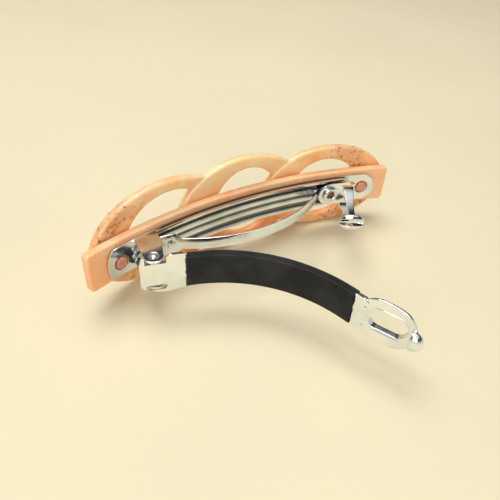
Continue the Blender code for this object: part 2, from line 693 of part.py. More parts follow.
def catch_prong(name, side, surface):
    """One sprung leg of the catch with its half of the oval head."""
    along, across = prong_frame()
    root = Vector(PRONG_ROOT)
    reach = (Vector(HEAD_CENTRE) - root).length
    stations = ((0.0, 2.75, 1.3), (0.15, 2.7, 1.15), (0.45, 1.75, 0.95), (0.75, 1.05, 0.85), (1.0, 0.75, 0.8))
    building = bmesh.new()
    rings = []
    for share, height, width in stations:
        ring = []
        for place, up in ((-1, 0), (1, 0), (1, 1), (-1, 1)):
            spot = root + along * reach * share + across * place * width * PRONG_WIDTH / 2
            level = side * (height * MM + (up - 0.5) * PRONG_THICKNESS)
            ring.append(building.verts.new((spot.x, spot.y, level + CENTRE_HEIGHT)))
        rings.append(ring)
    building.faces.new(rings[0])
    building.faces.new(list(reversed(rings[-1])))
    for near, far in zip(rings, rings[1:]):
        for index in range(4):
            following = (index + 1) % 4
            building.faces.new((near[index], near[following], far[following], far[index]))
    prong = object_from("prong", building)
    stations = ((0.0, -0.7), (0.55, -0.7), (0.92, -0.45), (1.0, 0.0), (0.93, 0.4), (0.7, 0.8),
                (0.35, 1.0), (0.0, 1.05))
    head = turned("head", [(share, height * MM) for share, height in stations], segments=28)
    head.data.transform(Matrix.Diagonal((HEAD_HALF_LENGTH, 1.0, HEAD_HALF_HEIGHT, 1.0)))
    turn = math.atan2(along.y, along.x) - math.pi / 2
    head.data.transform(Matrix.Rotation(turn, 4, "Z"))
    head.data.transform(Matrix.Translation((HEAD_CENTRE[0], HEAD_CENTRE[1], 0.0)))
    corner = 8 * MM
    keep = slab("keep", [(HEAD_CENTRE[0] - corner, HEAD_CENTRE[1] - corner),
                         (HEAD_CENTRE[0] + corner, HEAD_CENTRE[1] - corner),
                         (HEAD_CENTRE[0] + corner, HEAD_CENTRE[1] + corner),
                         (HEAD_CENTRE[0] - corner, HEAD_CENTRE[1] + corner)],
                *sorted((side * HEAD_SPLIT, side * 6 * MM)), upright=True)
    combine(head, keep, "INTERSECT")
    combine(prong, lift(head), "UNION")
    tidy(prong)
    finish(prong, name, surface)
    return pivot_at(prong, root.x, root.y, CENTRE_HEIGHT + side * 2.75 * MM)


def settle():
    """Move the whole barrette so that the middle oval's resting flat lies on the origin."""
    foot = arch_point(OVALS[1][0] * MM, (OVAL_BACK + OVAL_FRONT) / 2)
    for piece in bpy.context.scene.objects:
        if piece.location.length > 0:
            piece.location -= Vector((foot.x, foot.y, 0.0))
        else:
            piece.data.transform(Matrix.Translation((-foot.x, -foot.y, 0.0)))


def build():
    """Make every piece of the barrette."""
    clear_scene()
    acetate = material("acetate", (0.93, 0.55, 0.36), 0.0, 0.2)
    nickel = material("nickel_steel", (0.78, 0.78, 0.74), 1.0, 0.22)
    spring = material("spring_steel", (0.72, 0.72, 0.68), 1.0, 0.28)
    chrome = material("chrome", (0.85, 0.85, 0.85), 1.0, 0.08)
    rubber = material("black_sleeve", (0.02, 0.02, 0.022), 0.0, 0.6)
    ring_plate(acetate)
    back_bar(acetate)
    stake("stake_left", STAKE_SPOTS["left"], acetate)
    stake("stake_right", STAKE_SPOTS["right"], acetate)
    base_plate(nickel)
    hinge_nib("hinge_nib_upper", 1, chrome)
    hinge_nib("hinge_nib_lower", -1, chrome)
    arm(nickel)
    arm_sleeve(rubber)
    tension_bar(spring)
    catch_foot(nickel)
    catch_eyelet(chrome)
    catch_prong("catch_prong_upper", 1, chrome)
    catch_prong("catch_prong_lower", -1, chrome)
    settle()


build()
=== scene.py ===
"""Looks of a French-clip hair barrette: three linked acetate ovals on a bar, with its sprung clasp open.

Metres, +Z up. +X runs along the barrette from the hinge to the catch, and the clasp side faces -Y.
A flat piece is cut as (along, away from the hair, up) and then bent on to the arch or the arm's curve.
"""

import logging
import math
from contextlib import contextmanager
from dataclasses import dataclass
from enum import Enum
from typing import Callable, Iterator, Optional, Sequence

import bmesh
import bpy
from mathutils import Matrix, Vector

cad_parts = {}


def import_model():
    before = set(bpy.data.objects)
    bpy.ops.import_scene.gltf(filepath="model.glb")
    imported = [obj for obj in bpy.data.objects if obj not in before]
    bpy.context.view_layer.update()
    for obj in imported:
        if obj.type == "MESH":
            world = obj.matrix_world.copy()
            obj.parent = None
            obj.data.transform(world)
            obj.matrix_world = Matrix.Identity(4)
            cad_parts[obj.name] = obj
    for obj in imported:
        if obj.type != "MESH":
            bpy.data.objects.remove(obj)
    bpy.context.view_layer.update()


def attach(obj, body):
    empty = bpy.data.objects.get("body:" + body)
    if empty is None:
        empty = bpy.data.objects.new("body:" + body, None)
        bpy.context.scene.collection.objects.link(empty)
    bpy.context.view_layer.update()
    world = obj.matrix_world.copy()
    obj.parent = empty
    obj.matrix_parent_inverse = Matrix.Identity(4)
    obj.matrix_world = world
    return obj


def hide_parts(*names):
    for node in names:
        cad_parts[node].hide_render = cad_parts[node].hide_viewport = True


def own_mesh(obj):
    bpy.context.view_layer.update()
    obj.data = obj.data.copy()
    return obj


MM = 0.001
LOG = logging.getLogger("barrette")

Outline = Sequence[tuple[float, float]]
Colour = tuple[float, float, float]


class Body(Enum):
    """The bodies that a piece can ride on."""

    BASE = "clip_base"
    ARM = "clip_arm"
    UPPER_PRONG = "prong_upper"
    LOWER_PRONG = "prong_lower"


class Action(Enum):
    """What a tool solid does to the solid it is pressed into."""

    ADD = "UNION"
    CUT = "DIFFERENCE"
    KEEP = "INTERSECT"


class Side(Enum):
    """The upper or the lower one of a pair, across the barrette's height."""

    UPPER = 1
    LOWER = -1


@dataclass(frozen=True)
class Arch:
    """The arch that the whole back follows, measured at the bar's clasp-side face."""

    radius: float = 118.7 * MM
    middle_x: float = -1.64645 * MM
    middle_y: float = -3.4389 * MM
    height: float = 12.35 * MM

    def place(self, along: float, outward: float = 0.0, up: float = 0.0) -> Vector:
        """Where a flat point comes to lie once it is on the arch.

        Args:
            along: distance along the arch from its middle.
            outward: distance away from the hair side of the bar.
            up: height above the barrette's middle line.

        Returns:
            The point in the barrette's own frame.
        """
        turn = along / self.radius
        reach = self.radius + outward
        return Vector((reach * math.sin(turn) + self.middle_x,
                       reach * math.cos(turn) - self.radius + self.middle_y, up + self.height))


ARCH = Arch()


class Bench:
    """Hand tools. Each one leaves Blender in object mode with its piece taken up."""

    @staticmethod
    def take(*pieces: bpy.types.Object) -> None:
        """Put everything down and take up these pieces, the first being the active one.

        Args:
            pieces: the pieces to take up.
        """
        bpy.ops.object.select_all(action="DESELECT")
        for piece in pieces:
            piece.select_set(True)
        bpy.context.view_layer.objects.active = pieces[0]

    @staticmethod
    @contextmanager
    def editing(piece: bpy.types.Object, kind: str = "VERT") -> Iterator[None]:
        """Edit one piece with nothing selected at first.

        Args:
            piece: the mesh to edit.
            kind: VERT, EDGE or FACE.
        """
        Bench.take(piece)
        bpy.ops.object.mode_set(mode="EDIT")
        bpy.ops.mesh.select_mode(type=kind)
        bpy.ops.mesh.select_all(action="DESELECT")
        try:
            yield
        finally:
            bpy.ops.object.mode_set(mode="OBJECT")

    @staticmethod
    def pick_points(piece: bpy.types.Object, test: Callable[[Vector], bool]) -> None:
        """Select only the points whose place passes the test.

        Args:
            piece: the mesh being edited.
            test: says of a point's place whether to select it.
        """
        mesh = bmesh.from_edit_mesh(piece.data)
        bpy.ops.mesh.select_all(action="DESELECT")
        for point in mesh.verts:
            if test(point.co):
                point.select_set(True)
        mesh.select_flush(True)
        bmesh.update_edit_mesh(piece.data)

    @staticmethod
    def pick_edges(piece: bpy.types.Object, test: Callable[[Vector, Vector], bool]) -> None:
        """Select only the edges whose middle and direction pass the test.

        Args:
            piece: the mesh being edited.
            test: says of a middle and a direction whether to select it.
        """
        mesh = bmesh.from_edit_mesh(piece.data)
        bpy.ops.mesh.select_all(action="DESELECT")
        for edge in mesh.edges:
            first, last = (point.co for point in edge.verts)
            if test((first + last) / 2, (last - first).normalized()):
                edge.select_set(True)
        bmesh.update_edit_mesh(piece.data)

    @staticmethod
    def pick_faces(piece: bpy.types.Object, test: Callable[[Vector, Vector], bool]) -> None:
        """Select only the faces whose middle and outward direction pass the test.

        Args:
            piece: the mesh being edited.
            test: says of a middle and a normal whether to select it.
        """
        mesh = bmesh.from_edit_mesh(piece.data)
        bpy.ops.mesh.select_all(action="DESELECT")
        for face in mesh.faces:
            if test(face.calc_center_median(), face.normal):
                face.select_set(True)
        bmesh.update_edit_mesh(piece.data)

    @staticmethod
    def settle(piece: bpy.types.Object) -> bpy.types.Object:
        """Bring the piece's origin, turn and scale back to nothing, with its place in its mesh.

        Args:
            piece: the mesh to settle.

        Returns:
            The same piece.
        """
        Bench.take(piece)
        bpy.ops.object.transform_apply(location=True, rotation=True, scale=True)
        return piece

    @staticmethod
    def shift(piece: bpy.types.Object, by: Vector) -> bpy.types.Object:
        """Move a piece and settle it there."""
        piece.location = piece.location + by
        return Bench.settle(piece)

    @staticmethod
    def turn(piece: bpy.types.Object, axis: str, angle: float) -> bpy.types.Object:
        """Turn a piece about an axis through the origin and settle it."""
        piece.matrix_world = Matrix.Rotation(angle, 4, axis) @ piece.matrix_world
        return Bench.settle(piece)

    @staticmethod
    def trace(name: str, points: Sequence[Vector]) -> bpy.types.Object:
        """Draw a closed wire by pulling one point from corner to corner, and fill it.

        Args:
            name: the name of the new piece.
            points: the corners in order.

        Returns:
            A flat face.
        """
        bpy.ops.mesh.primitive_plane_add(size=MM, location=points[0])
        wire = bpy.context.active_object
        wire.name = name
        with Bench.editing(wire):
            bpy.ops.mesh.select_all(action="SELECT")
            bpy.ops.mesh.merge(type="CENTER")
            for last, point in zip(points, points[1:]):
                bpy.ops.mesh.extrude_region_move(TRANSFORM_OT_translate={"value": point - last})
            bpy.ops.mesh.select_all(action="SELECT")
            bpy.ops.mesh.edge_face_add()
        return Bench.settle(wire)

    @staticmethod
    def round_corners(piece: bpy.types.Object, width: float, segments: int = 4) -> bpy.types.Object:
        """Round the corners of a flat face.

        Args:
            piece: a flat face.
            width: how far a corner is cut back.
            segments: steps round each corner.

        Returns:
            The same piece.
        """
        with Bench.editing(piece):
            bpy.ops.mesh.select_all(action="SELECT")
            bpy.ops.mesh.bevel(offset=width, segments=segments, affect="VERTICES", clamp_overlap=True)
        return piece

    @staticmethod
    def thicken(piece: bpy.types.Object, by: Vector) -> bpy.types.Object:
        """Pull a flat face into a closed solid.

        Args:
            piece: a flat face.
            by: how far and which way to pull it.

        Returns:
            The same piece, now a closed solid.
        """
        with Bench.editing(piece, "FACE"):
            bpy.ops.mesh.select_all(action="SELECT")
            bpy.ops.mesh.extrude_region_move(TRANSFORM_OT_translate={"value": by})
            bpy.ops.mesh.select_all(action="SELECT")
            bpy.ops.mesh.normals_make_consistent(inside=False)
        return piece

    @staticmethod
    def sheet(name: str, outline: Outline, low: float, high: float, corner: float = 0.0,
              upright: bool = False) -> bpy.types.Object:
        """Cut a sheet to an outline, given in millimetres.

        Args:
            name: the name of the new piece.
            outline: corners as (along, up), or as (along, away) for an upright sheet.
            low: where the sheet's thickness starts.
            high: where it ends.
            corner: how far the outline's corners are rounded.
            upright: whether the sheet stands across the barrette's height.

        Returns:
            A closed solid.
        """
        if upright:
            points = [Vector((along * MM, away * MM, low)) for along, away in outline]
            pull = Vector((0, 0, high - low))
        else:
            points = [Vector((along * MM, low, up * MM)) for along, up in outline]
            pull = Vector((0, high - low, 0))
        face = Bench.trace(name, points)
        if corner > 0.0:
            Bench.round_corners(face, corner)
        return Bench.thicken(face, pull)

    @staticmethod
    def rod(name: str, place: Vector, radius: float, depth: float, axis: str = "Y",
            sides: int = 40) -> bpy.types.Object:
        """A round rod through one axis, centred on a place.

        Args:
            name: the name of the new piece.
            place: its middle.
            radius: its radius.
            depth: its length.
            axis: Y or Z, the way that it points.
            sides: sides round it.

        Returns:
            A closed solid.
        """
        turn = (math.pi / 2, 0, 0) if axis == "Y" else (0, 0, 0)
        bpy.ops.mesh.primitive_cylinder_add(vertices=sides, radius=radius, depth=depth, location=place,
                                            rotation=turn)
        piece = bpy.context.active_object
        piece.name = name
        return Bench.settle(piece)

    @staticmethod
    def apply(piece: bpy.types.Object, kind: str, **settings: object) -> bpy.types.Object:
        """Put one modifier on a piece and apply it.

        Args:
            piece: the mesh to change.
            kind: the modifier's type.
            settings: its values, by name.

        Returns:
            The same piece.
        """
        modifier = piece.modifiers.new(kind.lower(), kind)
        for key, value in settings.items():
            setattr(modifier, key, value)
        Bench.take(piece)
        bpy.ops.object.modifier_apply(modifier=modifier.name)
        return piece

    @staticmethod
    def press(target: bpy.types.Object, tool: bpy.types.Object, action: Action) -> bpy.types.Object:
        """Add, cut or keep with a tool solid, and put the tool away.

        Args:
            target: the solid to change.
            tool: the solid pressed into it.
            action: what the tool does.

        Returns:
            The target.
        """
        Bench.apply(target, "BOOLEAN", operation=action.value, object=tool, solver="EXACT")
        bpy.data.objects.remove(tool, do_unlink=True)
        return target

    @staticmethod
    def ease(piece: bpy.types.Object, width: float, segments: int = 3, angle: float = 40.0
             ) -> bpy.types.Object:
        """Round every edge sharper than an angle in degrees."""
        return Bench.apply(piece, "BEVEL", width=width, segments=segments, limit_method="ANGLE",
                           angle_limit=math.radians(angle), use_clamp_overlap=True)

    @staticmethod
    def slice(piece: bpy.types.Object, places: Sequence[float]) -> bpy.types.Object:
        """Cut edges across a piece at places along X, so that it can bend there.

        Args:
            piece: the mesh to slice.
            places: where to slice it.

        Returns:
            The same piece.
        """
        with Bench.editing(piece):
            for place in places:
                bpy.ops.mesh.select_all(action="SELECT")
                bpy.ops.mesh.bisect(plane_co=(place, 0, 0), plane_no=(1, 0, 0))
        return piece

    @staticmethod
    def span(piece: bpy.types.Object) -> tuple[float, float]:
        """Lowest and highest place of a piece along X."""
        places = [point.co.x for point in piece.data.vertices]
        return min(places), max(places)

    @staticmethod
    def bend(piece: bpy.types.Object, start: float, end: float, angle: float, still: float
             ) -> bpy.types.Object:
        """Bend one stretch of a piece about Z; what lies past either end is carried along straight.

        Args:
            piece: a piece that lies along X.
            start: where the stretch starts.
            end: where it ends.
            angle: turn over the whole stretch, in radians, towards +Y if positive.
            still: the place along X that keeps its place and heading.

        Returns:
            The same piece.
        """
        Bench.shift(piece, Vector((-still, 0, 0)))
        low, high = Bench.span(piece)
        first = max(0.0, (start - still - low) / (high - low))
        last = min(1.0, (end - still - low) / (high - low))
        Bench.apply(piece, "SIMPLE_DEFORM", deform_method="BEND", deform_axis="Z", limits=(first, last),
                    angle=angle * (last - first) * (high - low) / (end - start))
        return Bench.shift(piece, Vector((still, 0, 0)))

    @staticmethod
    def steps(low: float, high: float, step: float) -> list[float]:
        """Even places from low to high."""
        count = max(1, round((high - low) / step))
        return [low + (high - low) * index / count for index in range(1, count)]

    @staticmethod
    def arch(piece: bpy.types.Object, step: float = 1.5 * MM) -> bpy.types.Object:
        """Bend a flat piece on to the barrette's arch and lift it to its height.

        Args:
            piece: a flat piece that lies along X.
            step: distance between the edges cut across it.

        Returns:
            The same piece.
        """
        low, high = Bench.span(piece)
        Bench.slice(piece, Bench.steps(low, high, step))
        Bench.bend(piece, low, high, (low - high) / ARCH.radius, 0.0)
        return Bench.shift(piece, Vector((ARCH.middle_x, ARCH.middle_y, ARCH.height)))

    @staticmethod
    def join(*pieces: bpy.types.Object) -> bpy.types.Object:
        """Make several meshes one piece, named as the first.

        Args:
            pieces: the meshes, the first being the one that stays.

        Returns:
            The joined piece.
        """
        Bench.take(*pieces)
        bpy.ops.object.join()
        return pieces[0]

    @staticmethod
    def polish(piece: bpy.types.Object, angle: float = 38.0, weighted: bool = True) -> bpy.types.Object:
        """Merge doubled points, turn faces outwards and shade the piece smooth between crisp edges.

        Args:
            piece: the mesh to finish.
            angle: edges sharper than this, in degrees, stay crisp.
            weighted: whether large faces keep their own direction.

        Returns:
            The same piece.
        """
        with Bench.editing(piece):
            bpy.ops.mesh.select_all(action="SELECT")
            bpy.ops.mesh.remove_doubles(threshold=0.004 * MM)
            bpy.ops.mesh.select_all(action="SELECT")
            bpy.ops.mesh.normals_make_consistent(inside=False)
        Bench.take(piece)
        bpy.ops.object.shade_smooth_by_angle(angle=math.radians(angle))
        piece.data.validate()
        if weighted:
            Bench.apply(piece, "WEIGHTED_NORMAL", mode="FACE_AREA", weight=50, keep_sharp=True)
        return piece

    @staticmethod
    def hand_over(piece: bpy.types.Object, name: str, body: Body, material: bpy.types.Material, slot: str,
                  *nodes: str) -> bpy.types.Object:
        """Name a finished piece, dress it and let it ride on its body.

        Args:
            piece: the finished mesh.
            name: the piece's name.
            body: the body that it moves with.
            material: its finish.
            slot: the record's slot that the finish stands in; not used.
            nodes: the plain solids that it stands for.

        Returns:
            The same piece.
        """
        Bench.settle(piece)
        piece.name = name
        piece.data.name = name
        piece.data.materials.clear()
        piece.data.materials.append(material)
        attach(piece, body.value)
        if nodes:
            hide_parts(*nodes)
        LOG.info("%s: %d faces on %s", name, len(piece.data.polygons), body.value)
        return piece


class Graph:
    """A node tree that is easier to write down."""

    def __init__(self, tree: bpy.types.NodeTree) -> None:
        """Start on a tree."""
        self.tree = tree

    def add(self, kind: str, values: Optional[dict] = None, **settings: object) -> bpy.types.Node:
        """Add a node, with input values by name or number and settings by name.

        Args:
            kind: the node's type.
            values: input values or sockets, by name or number.
            settings: the node's own settings, by name.

        Returns:
            The node.
        """
        node = self.tree.nodes.new(kind)
        for key, value in settings.items():
            setattr(node, key, value)
        for key, value in (values or {}).items():
            if isinstance(value, bpy.types.NodeSocket):
                self.tree.links.new(value, node.inputs[key])
            else:
                node.inputs[key].default_value = value
        return node

    def place(self) -> bpy.types.NodeSocket:
        """Place on the object, in metres."""
        return self.add("ShaderNodeTexCoord").outputs["Object"]

    def noise(self, place: bpy.types.NodeSocket, scale: float, detail: float = 3.0, rough: float = 0.5,
              warp: float = 0.0) -> bpy.types.NodeSocket:
        """Value of a noise pattern."""
        return self.add("ShaderNodeTexNoise", {"Vector": place, "Scale": scale, "Detail": detail,
                                               "Roughness": rough, "Distortion": warp}).outputs["Fac"]

    def ramp(self, value: bpy.types.NodeSocket, stops: Sequence[tuple[float, Colour]]
             ) -> bpy.types.NodeSocket:
        """Colours over a value.

        Args:
            value: what the colours run over.
            stops: (spot, colour) pairs in order.

        Returns:
            The colour.
        """
        node = self.add("ShaderNodeValToRGB", {"Fac": value})
        band = node.color_ramp.elements
        while len(band) < len(stops):
            band.new(0.5)
        for element, (spot, colour) in zip(band, stops):
            element.position = spot
            element.color = (*colour, 1.0)
        return node.outputs["Color"]

    def fit(self, value: bpy.types.NodeSocket, source: tuple[float, float], target: tuple[float, float]
            ) -> bpy.types.NodeSocket:
        """A value brought from one range into another, and held inside it.

        Args:
            value: the value.
            source: the range that it comes in.
            target: the range that it leaves in.

        Returns:
            The new value.
        """
        return self.add("ShaderNodeMapRange", {"Value": value, "From Min": source[0],
                                               "From Max": source[1], "To Min": target[0],
                                               "To Max": target[1]}).outputs["Result"]

    def maths(self, operation: str, first: object, second: object = 0.0) -> bpy.types.NodeSocket:
        """Result of one sum."""
        return self.add("ShaderNodeMath", {0: first, 1: second}, operation=operation).outputs[0]

    def mix(self, share: object, first: object, second: object) -> bpy.types.NodeSocket:
        """Two colours mixed by a share.

        Args:
            share: how much of the second colour.
            first: a colour or socket.
            second: a colour or socket.

        Returns:
            The mixed colour.
        """
        node = self.add("ShaderNodeMix", data_type="RGBA")
        for index, value in ((0, share), (6, first), (7, second)):
            if isinstance(value, bpy.types.NodeSocket):
                self.tree.links.new(value, node.inputs[index])
            else:
                node.inputs[index].default_value = (*value, 1.0) if isinstance(value, tuple) else value
        return node.outputs[2]


class Blank:
    """A new material with its Principled shader, ready to be dressed."""

    def __init__(self, name: str) -> None:
        """Make the material under its name."""
        self.material = bpy.data.materials.new(name)
        self.material.use_nodes = True
        self.graph = Graph(self.material.node_tree)
        self.shader = self.material.node_tree.nodes["Principled BSDF"]

    def feed(self, **sources: bpy.types.NodeSocket) -> None:
        """Lead results into the shader, each by its input's name with _ for a space."""
        for name, source in sources.items():
            self.graph.tree.links.new(source, self.shader.inputs[name.replace("_", " ")])

    def relief(self, height: bpy.types.NodeSocket, strength: float, depth: float) -> bpy.types.NodeSocket:
        """Normals of a fine relief with a depth in metres."""
        return self.graph.add("ShaderNodeBump", {"Height": height, "Strength": strength,
                                                 "Distance": depth}).outputs["Normal"]


class Grain:
    """Shared node group: a fine, uneven surface, stretched along the piece."""

    NAME = "fine_grain"

    @classmethod
    def tree(cls) -> bpy.types.NodeTree:
        """Make the group once.

        Returns:
            The group, with inputs Scale and Stretch and outputs Broad and Fine.
        """
        found = bpy.data.node_groups.get(cls.NAME)
        if found:
            return found
        group = bpy.data.node_groups.new(cls.NAME, "ShaderNodeTree")
        scale = group.interface.new_socket("Scale", in_out="INPUT", socket_type="NodeSocketFloat")
        scale.default_value = 900.0
        group.interface.new_socket("Stretch", in_out="INPUT", socket_type="NodeSocketVector")
        group.interface.new_socket("Broad", in_out="OUTPUT", socket_type="NodeSocketFloat")
        group.interface.new_socket("Fine", in_out="OUTPUT", socket_type="NodeSocketFloat")
        graph = Graph(group)
        inward = graph.add("NodeGroupInput")
        place = graph.place()
        drawn = graph.add("ShaderNodeVectorMath", {0: place, 1: inward.outputs["Stretch"]},
                          operation="MULTIPLY").outputs[0]
        fine = graph.add("ShaderNodeTexNoise", {"Vector": drawn, "Scale": inward.outputs["Scale"],
                                                "Detail": 4.0, "Roughness": 0.6}).outputs["Fac"]
        broad = graph.noise(place, 170.0, 2.0)
        graph.add("NodeGroupOutput", {"Broad": broad, "Fine": fine})
        return group


@dataclass(frozen=True)
class Metal:
    """A plated steel finish with a fine grain and faint smudges, and for the channel painted shade in its
    grooves.
    """

    name: str
    slot: str
    bright: Colour
    dull: Colour
    smooth: float
    rough: float
    stretch: tuple[float, float, float]
    relief: float
    # Whether shade is painted into the channel's grooves, and the colour of that painted shade.
    shaded_grooves: bool = False
    groove_shade: Colour = (0.035, 0.034, 0.028)
    groove_depths: tuple[float, float] = (1.3 * MM, 0.85 * MM)
    groove_ends: tuple[float, float] = (-25.5 * MM, 26.5 * MM)
    groove_fade: float = 1.0 * MM

    def paint_groove_shade(self, graph: Graph, colour: bpy.types.NodeSocket) -> bpy.types.NodeSocket:
        """Paint shade into the deep grooves between the channel's ribs, by distance from the arch's centre.

        Args:
            graph: the material's nodes.
            colour: the clean metal's colour.

        Returns:
            The colour with painted shade in the grooves.
        """
        axes = graph.add("ShaderNodeSeparateXYZ", {"Vector": graph.place()})
        centre = ARCH.place(0.0, -ARCH.radius)
        away = [graph.maths("SUBTRACT", axes.outputs[axis], value)
                for axis, value in (("X", centre.x), ("Y", centre.y))]
        reach = graph.maths("SQRT", graph.maths("ADD", graph.maths("MULTIPLY", away[0], away[0]),
                                                graph.maths("MULTIPLY", away[1], away[1])))
        deepest, rim = (ARCH.radius - depth for depth in self.groove_depths)
        deep = graph.fit(reach, (deepest, rim), (0.0, 0.9))
        left, right = ((end - self.groove_fade, end + self.groove_fade) for end in self.groove_ends)
        inside = graph.maths("MULTIPLY", graph.fit(axes.outputs["X"], left, (0.0, 1.0)),
                             graph.fit(axes.outputs["X"], right, (1.0, 0.0)))
        return graph.mix(graph.maths("MULTIPLY", deep, inside), colour, self.groove_shade)

    def make(self) -> bpy.types.Material:
        """Build the material.

        Returns:
            The material.
        """
        blank = Blank(self.name)
        graph = blank.graph
        grain = graph.add("ShaderNodeGroup", node_tree=Grain.tree())
        grain.inputs["Scale"].default_value = 900.0
        grain.inputs["Stretch"].default_value = self.stretch
        blotch = graph.fit(grain.outputs["Broad"], (0.4, 0.62), (0.0, 1.0))
        colour = graph.mix(blotch, self.bright, self.dull)
        # Painted shade in the channel's deep grooves, mixed over the clean metal.
        if self.shaded_grooves:
            colour = self.paint_groove_shade(graph, colour)
        level = graph.fit(graph.maths("ADD", graph.maths("MULTIPLY", grain.outputs["Fine"], 0.5),
                                      graph.maths("MULTIPLY", grain.outputs["Broad"], 0.5)),
                          (0.35, 0.65), (self.smooth, self.rough))
        blank.shader.inputs["Metallic"].default_value = 1.0
        blank.feed(Base_Color=colour, Roughness=level,
                   Normal=blank.relief(grain.outputs["Fine"], self.relief, 0.04 * MM))
        return blank.material


@dataclass(frozen=True)
class Acetate:
    """Polished, marbled, translucent cellulose acetate."""

    name: str
    slot: str
    pale: Colour
    peach: Colour
    deep: Colour
    speck: Colour
    specks: float
    depth: float
    rise: tuple[float, float] = (10 * MM, 23 * MM)
    speckled_left: tuple[float, float] = (-34 * MM, -24 * MM)
    speckled_right: tuple[float, float] = (20 * MM, 27 * MM)

    def make(self) -> bpy.types.Material:
        """Build the material: clouds that pale upwards, and specks towards both ends.

        Returns:
            The material.
        """
        blank = Blank(self.name)
        graph, shader = blank.graph, blank.shader
        place = graph.place()
        axes = graph.add("ShaderNodeSeparateXYZ", {"Vector": place})
        cloud = graph.noise(place, 85.0, 2.5, 0.5, 1.1)
        height = graph.fit(axes.outputs["Z"], self.rise, (-0.11, 0.09))
        shade = graph.maths("ADD", graph.fit(cloud, (0.0, 1.0), (0.125, 0.875)), height)
        marble = graph.ramp(shade, ((0.33, self.deep), (0.48, self.peach), (0.66, self.pale)))
        spots = graph.noise(place, 1100.0, 3.0, 0.55)
        patch = graph.noise(place, 170.0, 2.0, 0.5)
        across = axes.outputs["X"]
        ends = graph.maths("MAXIMUM", graph.fit(across, self.speckled_left, (1.0, 0.0)),
                           graph.fit(across, self.speckled_right, (0.0, 1.0)))
        where = graph.maths("MULTIPLY", graph.fit(patch, (0.38, 0.52), (0.0, 1.0)), ends)
        dots = graph.maths("MULTIPLY", graph.fit(spots, (0.52, 0.66), (0.0, self.specks)), where)
        haze = graph.maths("MULTIPLY", where, 0.3 * self.specks)
        colour = graph.mix(graph.maths("MAXIMUM", dots, haze), marble, self.speck)
        ripple = graph.noise(place, 260.0, 2.0)
        level = graph.fit(graph.noise(place, 900.0, 3.0), (0.35, 0.7), (0.16, 0.3))
        shader.inputs["Subsurface Weight"].default_value = 0.75
        shader.inputs["Subsurface Radius"].default_value = (1.0, 0.42, 0.2)
        shader.inputs["Subsurface Scale"].default_value = self.depth
        shader.inputs["IOR"].default_value = 1.49
        shader.inputs["Coat Weight"].default_value = 0.35
        shader.inputs["Coat Roughness"].default_value = 0.08
        blank.feed(Base_Color=colour, Roughness=level, Normal=blank.relief(ripple, 0.12, 0.1 * MM))
        return blank.material


@dataclass(frozen=True)
class Rubber:
    """Matt black sleeve with a fine leathery skin."""

    name: str = "black_grip_sleeve"
    slot: str = "black_sleeve"
    dark: Colour = (0.010, 0.0105, 0.0115)
    worn: Colour = (0.022, 0.023, 0.025)

    def make(self) -> bpy.types.Material:
        """Build the material.

        Returns:
            The material.
        """
        blank = Blank(self.name)
        graph = blank.graph
        place = graph.place()
        grain = graph.add("ShaderNodeGroup", node_tree=Grain.tree())
        grain.inputs["Scale"].default_value = 2600.0
        grain.inputs["Stretch"].default_value = (1.0, 1.0, 1.0)
        pores = graph.add("ShaderNodeTexVoronoi", {"Vector": place, "Scale": 3600.0}).outputs["Distance"]
        height = graph.maths("ADD", graph.maths("MULTIPLY", pores, 0.6), grain.outputs["Fine"])
        colour = graph.mix(graph.fit(grain.outputs["Broad"], (0.4, 0.65), (0.0, 1.0)), self.dark, self.worn)
        level = graph.fit(grain.outputs["Fine"], (0.35, 0.65), (0.52, 0.7))
        blank.shader.inputs["Specular IOR Level"].default_value = 0.22
        blank.feed(Base_Color=colour, Roughness=level, Normal=blank.relief(height, 0.3, 0.06 * MM))
        return blank.material


class Finishes:
    """All finishes of the barrette, each made once."""

    def __init__(self) -> None:
        """Make them."""
        self.ornament = Acetate("marbled_acetate_rings", "acetate", (1.0, 0.74, 0.44), (1.0, 0.56, 0.26),
                                (0.95, 0.36, 0.13), (0.32, 0.12, 0.035), 1.0, 2.2 * MM).make()
        self.bar = Acetate("marbled_acetate_bar", "acetate", (1.0, 0.64, 0.38), (1.0, 0.53, 0.28),
                           (0.97, 0.42, 0.19), (0.40, 0.14, 0.05), 0.0, 1.6 * MM, (4 * MM, 18 * MM)).make()
        self.stud = Acetate("acetate_studs", "acetate", (0.86, 0.50, 0.38), (0.72, 0.34, 0.25),
                            (0.58, 0.2, 0.14), (0.4, 0.14, 0.1), 0.0, 0.8 * MM).make()
        self.nickel = Metal("bright_nickel", "nickel_steel", (0.89, 0.93, 0.97), (0.80, 0.84, 0.87),
                            0.14, 0.26, (1.0, 1.0, 1.0), 0.12).make()
        # The last True paints shade into the channel's grooves.
        self.pressed = Metal("pressed_nickel", "nickel_steel", (0.82, 0.86, 0.90), (0.70, 0.735, 0.76),
                             0.08, 0.18, (0.12, 1.0, 1.0), 0.1, True).make()
        self.spring = Metal("plated_spring", "spring_steel", (0.86, 0.91, 0.95), (0.76, 0.80, 0.83),
                            0.16, 0.3, (0.1, 1.0, 1.0), 0.2).make()
        self.chrome = Metal("polished_chrome", "chrome", (0.92, 0.945, 0.97), (0.85, 0.875, 0.90),
                            0.04, 0.1, (1.0, 1.0, 1.0), 0.06).make()
        self.sleeve = Rubber().make()


